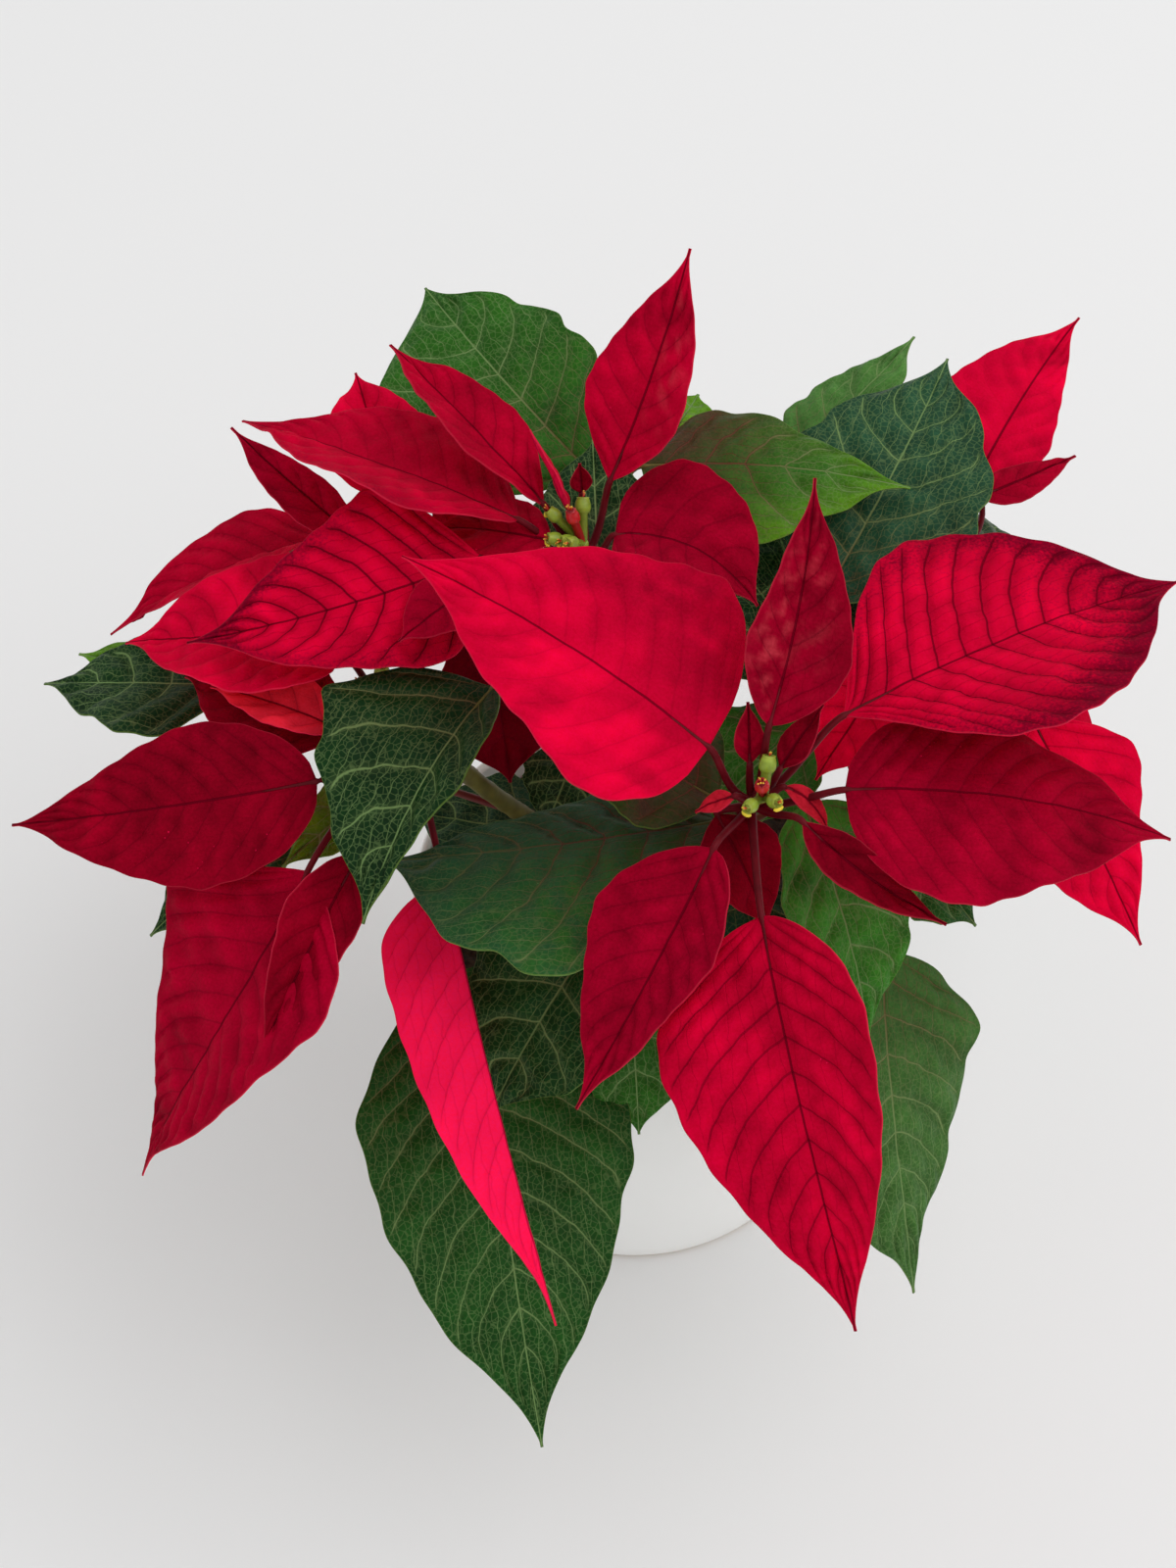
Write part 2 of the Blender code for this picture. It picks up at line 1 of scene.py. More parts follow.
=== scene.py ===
"""Looks of a red poinsettia in a plain white glazed pot.

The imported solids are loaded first, and every one of them gets a finer surface of the same form.
Lengths in the tables are in millimetres and angles in degrees; a heading of 0 points along +X and
90 along +Y. Surfaces are handed to Blender in metres, each in the place where its solid is.
"""

import bpy
import numpy as np
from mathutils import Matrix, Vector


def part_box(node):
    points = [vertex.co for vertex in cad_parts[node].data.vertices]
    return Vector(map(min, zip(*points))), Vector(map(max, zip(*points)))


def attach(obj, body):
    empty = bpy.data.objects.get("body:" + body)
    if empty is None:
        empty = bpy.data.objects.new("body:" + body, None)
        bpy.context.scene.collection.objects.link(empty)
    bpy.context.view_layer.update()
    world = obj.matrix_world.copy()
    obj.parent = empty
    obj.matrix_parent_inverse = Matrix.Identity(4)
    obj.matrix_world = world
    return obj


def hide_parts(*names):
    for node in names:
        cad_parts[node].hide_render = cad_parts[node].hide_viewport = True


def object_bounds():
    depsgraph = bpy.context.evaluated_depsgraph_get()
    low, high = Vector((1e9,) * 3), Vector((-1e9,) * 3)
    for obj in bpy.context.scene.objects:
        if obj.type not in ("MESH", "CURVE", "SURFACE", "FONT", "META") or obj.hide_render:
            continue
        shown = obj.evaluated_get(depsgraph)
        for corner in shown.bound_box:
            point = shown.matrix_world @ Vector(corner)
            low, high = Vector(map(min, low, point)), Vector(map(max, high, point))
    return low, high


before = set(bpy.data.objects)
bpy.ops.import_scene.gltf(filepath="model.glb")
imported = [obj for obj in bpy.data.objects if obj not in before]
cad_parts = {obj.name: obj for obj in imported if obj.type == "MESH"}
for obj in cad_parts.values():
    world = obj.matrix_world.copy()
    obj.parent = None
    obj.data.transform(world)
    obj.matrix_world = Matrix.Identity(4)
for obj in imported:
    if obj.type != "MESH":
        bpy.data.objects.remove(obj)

bl_info = {
    "name": "Potted poinsettia",
    "version": (1, 0, 0),
    "blender": (4, 5, 0),
    "location": "3D View > Sidebar > Poinsettia",
    "description": "Makes a red poinsettia in a white pot piece by piece",
    "category": "Add Mesh",
}

CAD_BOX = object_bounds()

MM = 0.001
BODY = "root"

# Pot and soil, with the sizes of their solids. A field is its height, its waves' size and its seed
POT_WALL = 3.6
POT_FLOOR = 6.0
POT_ROUNDING = 1.8
POT_SIDES = 192
POT_WALL_RINGS = 24
GAP = 0.3
SOIL_TOP = 122.0
SOIL_SHOULDER = 1.0
SOIL_FIELDS = ((0.9, 14, 5), (0.8, 5, 6))
SOIL_LOWERING = 0.6
SOIL_RINGS = 70
SOIL_SIDES = 220
HOLE_DEPTH = 16.0

# Crumbs on the soil
CRUMB_COUNT = 900
CRUMB_PROFILE = [(0, -1), (0.8, -0.6), (1, 0.1), (0.7, 0.7), (0, 1)]
CRUMB_SIDES = 6
CRUMB_SIZES = (0.5, 1.7)
CRUMB_STRETCH = (0.7, 1.2)
CRUMB_SINK = 0.9
CRUMB_SEED = 11

# Stems, each with a short core piece at its top that the bracts grow from
STEM_RADIUS = 3.2
STEM_SIDES = 24
KNOT_WIDTH = 1.8
STEM_POINTS = 120
BARK_HEIGHTS = (130, 215)
FIRST_SCAR = 30
SCAR_SPACING = 15.0
CORE_RADIUS = 2.2
CORE_TOP_RADIUS = 1.8
CORE_LENGTH = 22.0
CORE_RINGS = 14
CORE_SIDES = 16

# Stalks, which end as a thin inlay under the midrib
PETIOLE_RADIUS = 1.35
STALK_START = 0.9
LEAVING_RISE = 0.2
ARRIVAL = 0.6
STALK_TAPER = 0.32
STALK_POINTS = 18
STALK_SIDES = 12
INLAY = (0.02, 0.16)
INLAY_POINTS = 4
INLAY_DEPTH = 0.35
INLAY_RADII = (0.55, 0.25)

# Forms of blades
BLADE_THICKNESS = 0.5
LEAST_HALF_WIDTH = 0.45
FOLD_EASING = 8.0
FOLD_ROUNDING = 0.07
MIDRIB_STEPS = 60
GRID_ALONG = 1.25
GRID_ACROSS = 1.8
EXTRA_COLUMNS = (0.035, 0.975)
TIP_NARROWING = 0.45
TIP_THINNING = 0.4
THIN_TIP = (0.62, 0.97)
NIBBLES = 9
NIBBLE_DEPTH = 0.012
VEIN_SPACING = {"bract": 9.0, "leaf": 13.0}
VEIN_SLANT = 0.13
VEIN_BEND = 0.09
VEIN_STAGGER = 0.012
FIRST_VEIN = 0.35

# Relief of blades
PUCKER_SIZE = 16
PUCKER_HEIGHT = 0.6
FULL_WAVE_WIDTH = 60
QUILTING_SPACING = 10.0
GROOVE_DEPTH = 0.30
GROOVE_WIDTH = 0.7
RIDGE_HEIGHT = 0.75
RIB_WIDTH = 0.55

# Colour of blades: sizes of uneven fields, and how far they change the tone
CLOUD_SIZE = 26
GRAIN_SIZE = 7
FLAME_SIZE = 4.5
CLOUD_SHARE = 0.20
GRAIN_SHARE = 0.10
# Painted light and shade: how far the relief height lightens lumps and darkens hollows
RELIEF_SHADE_SHARE = 0.13
MOST_STAIN = 0.9
BASE_REDDENING = 0.75

# Pattern in the skin of blades. An edge is where a line ends: the values that it fades between
RUNG_SPACING = 4.2
NET_SCALE = 520.0
WARP_SCALE = 150.0
SPECK_SCALE = 1100.0
# Width of the valleys beside the side veins, which also carry painted shade
VALLEY_SHADE_WIDTH = 2.6
VEIN_WOBBLE = 0.18
RUNG_WOBBLE = 0.9
PLAIN_MARGIN = (3.5, 0.6)
RIB_EDGE = (0.5, 1.2)
RUNG_EDGE = (0.04, 0.24)
NET_EDGE = (0.0, 0.10)
MARGIN_EDGE = (0.05, 0.35)
STAIN_EDGE = (1.50, 0.72)
SPECK_SHARE = 0.45
STAIN_SHARE = 0.85
SIDE_VEIN_SHARE = 0.75
RIB_SHARE = 0.8

# Seeds of blades and stalks, to which the number of the row is added
BLADE_SEED = 100
STALK_SEED = 300

# Cups, with the radius along their axis: stalk, round belly, narrow neck, flared rim and dip.
# Places on that axis go from -1 at the foot of the belly to 1 at the rim
CUP_RADIUS = 2.2
CUP_LENGTH = 4.4
CUP_SIDES = 14
CUP_PLACES = np.array([-9, -1.02, -0.95, -0.6, -0.2, 0.25, 0.6, 0.85, 1.0, 1.0, 0.8])
CUP_WIDTHS = np.array([0.62, 0.60, 0.70, 0.93, 1.0, 0.95, 0.84, 0.74, 0.78, 0.5, 0.3])
FIRST_CUP_SCALE = 1.15
SEAT_HEIGHTS = (0.0, 0.9, 1.8)
SEAT_RADII = [1.9, 1.9, 1.6]
GLAND_PLACE = 0.62
GLAND_SIZE = (1.6, 1.0, 0.8)
GLAND_PROFILE = [(0, -1), (0.7, -0.75), (1, 0), (0.85, 0.6), (0.45, 0.55), (0, 0.2)]
STAMEN_PLACE = 0.85
STAMEN_LENGTHS = (1.2, 2.2)
STAMEN_RADII = [0.14, 0.14, 0.30, 0.12]

# Camera, which stands where the photograph was taken from, lamp and floor
CAMERA_PLACE = (-17.5, -500.0, 920.0)
CAMERA_DROP = 55.0
CAMERA_REACH = 20.0
LENS = 60.0
LONG_SIDE = 36.0
LAMP_PLACE = (1600.0, -150.0, 2700.0)
FLOOR_REACH = 3000
FLOOR_DROP = 0.05


class Stem:
    """One branch axis: a quadratic curve from its hole in the soil over a knee to its head."""

    def __init__(self, root, knee, tip):
        self.root = np.array(root, float)
        self.knee = np.array(knee, float)
        self.tip = np.array(tip, float)

    def points(self, count=200):
        """Give points from the hole to the head."""
        t = np.linspace(0, 1, count)[:, None]
        return (1 - t) ** 2 * self.root + 2 * t * (1 - t) * self.knee + t * t * self.tip

    def runs(self):
        """Give the distance along the axis for each of its points."""
        return np.r_[0, np.cumsum(np.linalg.norm(np.diff(self.points(), axis=0), axis=1))]

    def below_tip(self, distance):
        """Give the point that lies this far below the head along the axis."""
        run = self.runs()
        return along_path(run[-1] - np.asarray(distance, float), run, self.points())


STEMS = {
    1: Stem(root=(-2, 14, SOIL_TOP), knee=(-2, 24, 225), tip=(-19, 14, 312)),
    2: Stem(root=(8, -14, SOIL_TOP), knee=(14, -40, 230), tip=(32, -76, 308)),
    3: Stem(root=(-20, 34, SOIL_TOP), knee=(-42, -14, 200), tip=(-80, -19, 280)),
    4: Stem(root=(18, 6, SOIL_TOP), knee=(40, 2, 230), tip=(92, 18, 277)),
    5: Stem(root=(-4, 42, SOIL_TOP), knee=(-32, 42, 205), tip=(-78, 40, 276)),
}

# Each cup's heading, rise and reach from the middle of its head. The first is the largest
CUPS = {
    1: [(90, 47, 12), (150, 39, 13), (-169, 29, 10), (-130, 48, 8), (140, 69, 11), (-155, 40, 7)],
    2: [(76, 54, 10), (-104, 75, 9), (-120, 33, 9), (-63, 44, 9)],
    3: [(90, 75, 9), (180, 45, 8), (-90, 40, 8), (10, 45, 8)],
    4: [(60, 75, 9), (150, 45, 8), (-120, 40, 8), (-20, 45, 8)],
    5: [(120, 75, 9), (-150, 45, 8), (-60, 40, 8), (30, 45, 8)],
}

# Cups that are still closed and crimson, as (head, place in its list)
RED_CUPS = {(1, 4), (2, 1)}

# What a bract and a leaf have where their row says nothing else
USUAL = dict(bend=30, sweep=0, roll=0, fold=5, shade=1.0, stain=0.0, patches=())
USUAL_BRACT = dict(USUAL, kind="bract", shape=(0.36, 1.6, 0.8, 0.0), lobes=(0, 0.0), tone="rich",
                   veins=0.35)
USUAL_LEAF = dict(USUAL, kind="leaf", shape=(0.34, 1.6, 0.62, 0.0), lobes=(4.5, 0.045),
                  tone="dark", veins=1.0)
BLADES = []


def bract(head, where, below, petiole, size, aim, **special):
    """Add one red bract.

    below: distance of its stalk under the middle of the head
    petiole: stalk length, heading and rise; size: blade length and width
    aim: heading and rise at the blade's base; bend and sweep: how far rise falls and heading turns
    roll and fold: turn about the midrib, and rise of each half beside it
    shape: place of the widest part, fullness to the tip, roundness of the base, unevenness of sides
    lobes: how many waves the margin has, and how deep they are for the width
    tone and shade: one of the tones of the settings, and a factor on it, which paint the light and
    shade on the blade besides its own colour
    veins: how strongly they are coloured; stain: share of dark mottles
    patches: soft spots as (tone, share, place along, place across, reach along, reach across)
    """
    BLADES.append(dict(USUAL_BRACT, head=head, where=where, below=below, petiole=petiole,
                       size=size, aim=aim, **special))


def leaf(head, where, below, petiole, size, aim, **special):
    """Add one green leaf, with the same values as a bract."""
    BLADES.append(dict(USUAL_LEAF, head=head, where=where, below=below, petiole=petiole,
                       size=size, aim=aim, **special))


def list_blades():
    """Name every bract and leaf of the five branches."""
    # Tones and shade factors follow each blade's brightness, so besides its own colour they paint
    # the light and shade that fall on it
    # Head 1, the upright one at the back
    bract(1, "up", 5, (25, 57, 58), (73, 33), (51, 53), bend=6, sweep=18, roll=1, fold=14,
          shape=(0.38, 1.4, 0.84, 0.08), veins=0.3,
          patches=(("mottle_and_highlight", 0.5, 0.62, -0.45, 0.3, 0.4),), shade=0.96)
    bract(1, "left_folded", 6, (22, 151, 47), (72, 30), (137, 25), bend=25, sweep=-8, roll=18,
          fold=22, shape=(0.40, 1.6, 0.85, 0.04), shade=0.78)
    bract(1, "left_wide", 7, (25, 168, 31), (97, 60), (162, 17), bend=34, sweep=-14, roll=22,
          fold=14, shape=(0.35, 1.5, 0.73, -0.02), veins=0.2,
          patches=(("stain", 0.5, 0.5, 1.0, 0.6, 0.45),), shade=0.9)
    bract(1, "left_on_edge", 5, (16, 132, 63), (27, 12), (125, 44), bend=10, roll=75)
    bract(1, "middle_small", 6, (20, 95, 28), (10, 7), (100, 75), bend=10, tone="dark")
    bract(1, "right_round", 7, (15, -9, 56), (52, 48), (-8, 21), bend=50, sweep=-45, roll=-1,
          fold=17, shape=(0.31, 1.6, 0.45, 0.11), tone="deep", shade=0.84)
    bract(1, "left_veined", 9, (34, -170, 15), (95, 62), (-147, 6), bend=28, sweep=-38, roll=-14,
          fold=11, shape=(0.29, 1.2, 0.83, -0.04), stain=0.25, veins=1.1,
          patches=(("stain", 0.9, 1.0, 0.0, 0.2, 2.0), ("stain", 0.6, 0.7, -1.0, 0.4, 0.35),
                   ("stain", 0.4, 0.5, 1.0, 0.5, 0.3)), shade=1.25)
    bract(1, "left_low_small", 12, (46, -147, 23), (28, 22), (-138, 6), bend=20, tone="deep")
    bract(1, "left_dark", 11, (17, -175, 47), (41, 26), (159, -4), bend=20, tone="dark", shade=1.5)
    # Head 2, the nearest one
    # Painted shade: the deep patches darken the part of this bract that lies in shade
    bract(2, "over_left", 9, (26, 164, 57), (105, 82), (152, 30), bend=34, sweep=-4, roll=-2,
          fold=9, shape=(0.22, 1.4, 0.45, -0.06), tone="bright", veins=0.15,
          patches=(("deep", 0.75, 0.3, -0.8, 0.35, 0.55), ("deep", 0.5, 0.12, -0.3, 0.15, 0.6)))
    bract(2, "up", 7, (26, 72, 68), (71, 33), (68, 40), bend=8, sweep=18, roll=13, fold=24,
          shape=(0.32, 1.2, 0.70, -0.13), tone="deep", veins=0.4,
          patches=(("mottle_and_highlight", 0.8, 0.35, 0.5, 0.35, 0.45), ("mottle_and_highlight", 0.5, 0.55, -0.4, 0.3, 0.35),
                   ("dark", 0.5, 0.5, -1.0, 0.5, 0.4)), shade=0.82)
    bract(2, "right_back", 10, (37, 30, 38), (116, 90), (29, 7), bend=18, sweep=-4, roll=-10,
          fold=10, shape=(0.42, 1.6, 1.05, 0.0), tone="bright", stain=0.35, veins=1.0, shade=0.97,
          patches=(("stain", 0.75, 1.0, 0.0, 0.32, 2.0), ("stain", 0.65, 0.6, -1.0, 0.6, 0.4),
                   ("stain", 0.45, 0.6, 1.0, 0.5, 0.25)))
    # Painted shade: the dark patch darkens the side of this bract that faces away from the light
    bract(2, "right_front", 12, (30, -11, 29), (100, 64), (-3, 9), bend=42, sweep=2, roll=3, fold=0,
          shape=(0.32, 1.4, 0.45, -0.15), tone="deep", shade=0.95,
          patches=(("dark", 0.75, 0.5, 0.8, 0.5, 0.6),))
    bract(2, "right_folded", 10, (24, -50, 33), (50, 16), (-48, -8), bend=17, sweep=32, roll=13,
          fold=27, shape=(0.36, 1.4, 0.84, -0.13), tone="dark", shade=0.78)
    bract(2, "front", 12, (40, -88, 4), (126, 66), (-82, -15), bend=48, sweep=20, roll=34, fold=13,
          shape=(0.28, 1.4, 0.65, -0.13), veins=0.7, shade=1.12)
    bract(2, "front_left", 11, (25, -120, 18), (84, 42), (-117, -21), bend=22, sweep=-13, roll=11,
          fold=16, shape=(0.35, 1.3, 0.60, -0.14), tone="deep", shade=0.84)
    bract(2, "small_up", 9, (13, 105, 64), (19, 9), (96, 64), bend=10, tone="dark", shade=1.3)
    bract(2, "small_right", 9, (14, 30, 53), (22, 10), (46, 44), bend=10, tone="dark", shade=0.8)
    bract(2, "curl_left", 5, (9, -162, 35), (13, 7), (-177, -19), tone="pink")
    bract(2, "curl_right", 5, (9, 10, 30), (19, 7), (-18, -5), bend=50, sweep=-40, tone="pink")
    bract(2, "low_dark", 13, (10, -165, -6), (37, 26), (-60, -20), tone="dark", shade=0.8)
    # Head 3, low on the left
    bract(3, "left_blunt", 10, (27, 163, 52), (78, 54), (166, 3), bend=36, sweep=-5, roll=-1,
          fold=13, shape=(0.34, 1.6, 0.45, -0.15), shade=1.25)
    bract(3, "left", 14, (46, -124, 21), (105, 51), (-172, -8), bend=22, sweep=-25, roll=-24,
          fold=2, shape=(0.36, 1.2, 0.47, 0.05), tone="dark", shade=1.05)
    bract(3, "front_drooping", 16, (65, -115, 4), (126, 79), (-120, -28), bend=44, sweep=-41,
          roll=14, fold=6, shape=(0.26, 1.1, 0.80, -0.12), tone="deep")
    bract(3, "front_folded", 14, (59, -101, 9), (66, 26), (-119, -18), bend=18, roll=-16, fold=30,
          shape=(0.35, 1.3, 0.65, -0.05), tone="dark")
    bract(3, "left_pink_back", 12, (28, -137, 31), (45, 22), (156, 12), fold=20, tone="pink",
          shade=1.6)
    bract(3, "left_dark", 16, (29, -141, 26), (58, 40), (150, 9), tone="dark")
    bract(3, "front_hanging", 14, (53, -75, -27), (140, 50), (-78, -7), bend=13, sweep=6, roll=117,
          fold=70, shape=(0.16, 2.0, 0.50, 0.0), shade=1.4)
    # Head 4, low on the right
    bract(4, "back_right", 12, (65, 67, -1), (87, 44), (63, 11), bend=16, sweep=-6, roll=10, fold=3,
          shape=(0.31, 1.2, 0.79, 0.23), tone="bright", veins=0.1, shade=0.94)
    bract(4, "right_narrow", 12, (52, 60, 17), (44, 14), (25, 0), bend=22, sweep=21, roll=9,
          fold=-2, shape=(0.29, 1.3, 0.57, -0.08), shade=0.65)
    bract(4, "front_right", 14, (48, -42, 6), (84, 57), (-67, -14), bend=36, sweep=17, roll=-1,
          fold=0, shape=(0.33, 1.2, 1.14, -0.06), tone="bright")
    bract(4, "back_small", 16, (73, 63, -6), (48, 22), (108, 27), bend=20)
    bract(4, "under_right", 14, (29, -37, 1), (58, 44), (-31, -16), bend=35)
    bract(4, "under_back", 12, (34, 86, -1), (42, 40), (104, 12), bend=40)
    bract(4, "front_left_turned", 14, (20, -109, 8), (41, 30), (-126, -7), bend=20, tone="bright",
          shade=1.1)
    # Head 5, low at the back on the left
    bract(5, "left_long", 12, (30, 158, 16), (83, 42), (-166, -1), bend=33, sweep=5, roll=25,
          fold=19, shape=(0.38, 1.4, 0.84, -0.06), shade=0.88)
    bract(5, "left_narrow", 10, (30, -159, 53), (55, 18), (149, 25), bend=16, sweep=-15, roll=-9,
          fold=18, shape=(0.35, 1.5, 0.81, 0.12), tone="deep")
    bract(5, "back", 10, (27, 132, 62), (51, 37), (102, 18), bend=19, sweep=4, roll=-3, fold=19,
          shape=(0.36, 1.5, 0.80, 0.0), tone="bright")
    bract(5, "under_back", 12, (22, 95, 27), (52, 40), (75, 9), bend=50)
    bract(5, "under_left", 14, (22, -150, 21), (31, 38), (-163, -12), bend=40)
    bract(5, "under_right", 16, (12, 60, 40), (38, 36), (40, 8), bend=40)
    # Painted shadow: this bract lies under the big front bract, and its tone is darkened to half
    bract(5, "front_dark", 14, (24, -33, 0), (57, 40), (-79, -41), bend=10, fold=15,
          shape=(0.45, 2.4, 0.80, 0.0), tone="dark", shade=0.5)
    # Leaves of branch 1
    leaf(1, "back_left", 45, (54, 97, 19), (96, 73), (135, 18), bend=29, sweep=-19, roll=-16,
         shape=(0.39, 1.9, 0.60, 0.22), tone="fresh", shade=0.8)
    leaf(1, "right", 35, (51, 75, 16), (87, 58), (-4, 11), bend=25, sweep=-2, roll=4, fold=-4,
         shape=(0.35, 1.1, 0.64, -0.19), tone="middle",
         patches=(("flush", 1.0, 0.05, 0.7, 0.5, 1.3), ("backlit_green", 1.0, 1.0, -0.1, 0.4, 2.0),
                  ("backlit_green", 0.9, 0.65, -1.0, 0.5, 0.55), ("fresh", 0.7, 0.6, 0.0, 0.3, 0.8),
                  ("red_veins", 0.8, 0.2, 0.0, 0.4, 2.0)))
    leaf(1, "back_low", 90, (60, 88, 11), (106, 60), (77, -18), bend=50)
    leaf(1, "back_bright", 60, (92, 76, 6), (18, 24), (64, 10), bend=20, lobes=(0, 0.0),
         tone="backlit_green")
    leaf(1, "front_left", 34, (64, -123, 22), (83, 57), (-125, 5), bend=42, sweep=14, roll=16,
         fold=20, shape=(0.33, 1.3, 0.72, -0.40), shade=0.7)
    leaf(1, "under_head", 27, (7, 90, 16), (50, 42), (92, 12), bend=6, shade=0.7)
    # Leaves of branch 2
    leaf(2, "left_under", 75, (44, -140, -5), (68, 60), (-129, -22), shade=1.15)
    leaf(2, "front_bright", 95, (40, -129, -31), (57, 48), (-84, -31), bend=35, tone="fresh",
         shade=0.85)
    leaf(2, "front_right", 60, (29, 14, 17), (80, 49), (-65, -26), bend=41, sweep=-2, roll=-13,
         fold=8, shape=(0.34, 1.6, 0.51, 0.16), tone="fresh", shade=1.45)
    leaf(2, "left", 34, (5, -179, -14), (107, 78), (-171, -4), bend=24, sweep=-24, roll=18, fold=-5,
         shape=(0.37, 1.7, 0.48, 0.39), tone="bluish", shade=1.4,
         patches=(("flush", 0.6, 0.0, 0.0, 0.3, 1.5), ("fresh", 0.6, 0.3, 0.8, 0.5, 0.9),
                  ("red_veins", 0.8, 0.3, -0.2, 0.6, 0.9)))
    leaf(2, "left_back", 28, (8, 142, 8), (50, 46), (150, 12), bend=12, lobes=(0, 0.0),
         tone="middle",
         patches=(("flush", 0.8, 0.3, 0.0, 0.4, 1.5), ("red_veins", 0.9, 0.5, 0.0, 2.0, 2.0)))
    leaf(2, "front_largest", 95, (79, -166, -25), (159, 88), (-85, -13), bend=36, sweep=8, roll=-7,
         shape=(0.34, 1.6, 0.64, 0.0), lobes=(4.8, 0.02), tone="middle", shade=0.85)
    leaf(2, "under_head", 34, (42, -68, -40), (48, 42), (-70, -34))
    leaf(2, "deep", 85, (20, -30, 0), (42, 40), (-95, -20), tone="bluish", shade=0.7)
    # Leaves of branch 3
    leaf(3, "left", 40, (71, 163, 7), (69, 58), (176, -2), bend=24, sweep=-15, roll=11,
         shape=(0.37, 1.1, 0.67, -0.03), shade=0.75)
    leaf(3, "left_low", 60, (62, -155, 6), (59, 38), (-155, -14))
    leaf(3, "left_yellow", 45, (26, -134, 24), (44, 26), (-146, -1), lobes=(0, 0.0), tone="backlit_green",
         shade=0.8)
    leaf(3, "far_left", 100, (115, 165, 16), (48, 26), (155, 0), bend=20, tone="backlit_green")
    leaf(3, "under", 128, (6, 174, -64), (47, 44), (162, -6), bend=8, lobes=(0, 0.0), tone="bluish",
         shade=0.7)
    # Leaves of branch 4
    leaf(4, "front_right_low", 80, (79, -68, -4), (124, 80), (-88, -34), bend=35, sweep=21,
         roll=-24, fold=-5, shape=(0.27, 1.2, 0.52, -0.07), tone="light", shade=0.66)
    leaf(4, "front_left", 62, (10, -100, 60), (58, 44), (-140, -8), tone="fresh", shade=1.1)
    leaf(4, "right_under", 50, (49, -71, -11), (44, 40), (-33, -18), tone="middle")
    leaf(4, "middle_dark", 75, (34, 29, 74), (70, 64), (124, 20), bend=20, shade=0.7)
    leaf(4, "back_right_low", 55, (82, 45, -2), (91, 58), (48, -22), bend=45)
    leaf(4, "right_low", 70, (62, -2, -6), (72, 56), (-9, -29), bend=45)
    leaf(4, "back_light", 50, (92, 97, 10), (69, 34), (39, 15), bend=15, sweep=16, roll=-9, fold=1,
         shape=(0.30, 1.5, 0.58, -0.06), tone="light")
    leaf(4, "back_dark", 60, (44, 90, 72), (110, 71), (58, 19), bend=26, sweep=12, roll=-4, fold=6,
         shape=(0.39, 1.6, 0.83, 0.01), tone="bluish", shade=0.95)
    # Leaves of branch 5
    leaf(5, "back_left_low", 45, (56, 132, -8), (91, 56), (127, -25), bend=45)
    leaf(5, "back_low", 75, (45, 95, -8), (94, 60), (124, -23), bend=45)
    leaf(5, "front_dark", 72, (39, -57, 1), (31, 30), (-111, -9), bend=12, shade=0.6)


def srgb(red, green, blue):
    """Turn a colour as a screen shows it, 0 to 255, into the linear values that a shader takes."""
    share = np.array([red, green, blue], float) / 255
    linear = np.where(share < 0.04045, share / 12.92, ((share + 0.055) / 1.055) ** 2.4)
    return tuple(linear.tolist())


def unit(vectors):
    """Scale vectors to length one."""
    return vectors / np.linalg.norm(vectors, axis=-1, keepdims=True)


def direction(heading, rise):
    """Turn a heading and a rise in degrees into a direction."""
    h, r = np.radians(heading), np.radians(rise)
    return np.stack([np.cos(r) * np.cos(h), np.cos(r) * np.sin(h), np.sin(r) + 0 * h], -1)


def smooth(value, low, high):
    """Ease from 0 at low to 1 at high: 3x squared less 2x cubed."""
    x = np.clip((value - low) / (high - low), 0, 1)
    return x * x * (3 - 2 * x)


def bell(value, width):
    """Fall off on both sides of 0 as a bell curve: e to the power of minus the share squared."""
    return np.exp(-(value / width) ** 2)


def along_path(at, run, path):
    """Give the points of a path at distances, where run holds the distance of each path point."""
    return np.stack([np.interp(at, run, path[:, k]) for k in range(3)], -1)


def ripple(points, size, seed, waves=7):
    """Uneven smooth field from -1 to 1: a mean of sine waves in drawn directions, size mm long."""
    draw = np.random.default_rng(seed)
    ways = unit(draw.normal(size=(waves, 3)))
    ways = ways * 2 * np.pi / size * draw.uniform(0.6, 1.6, (waves, 1))
    start = draw.uniform(0, 2 * np.pi, waves)
    return np.sin(points @ ways.T + start).mean(-1) * 1.8


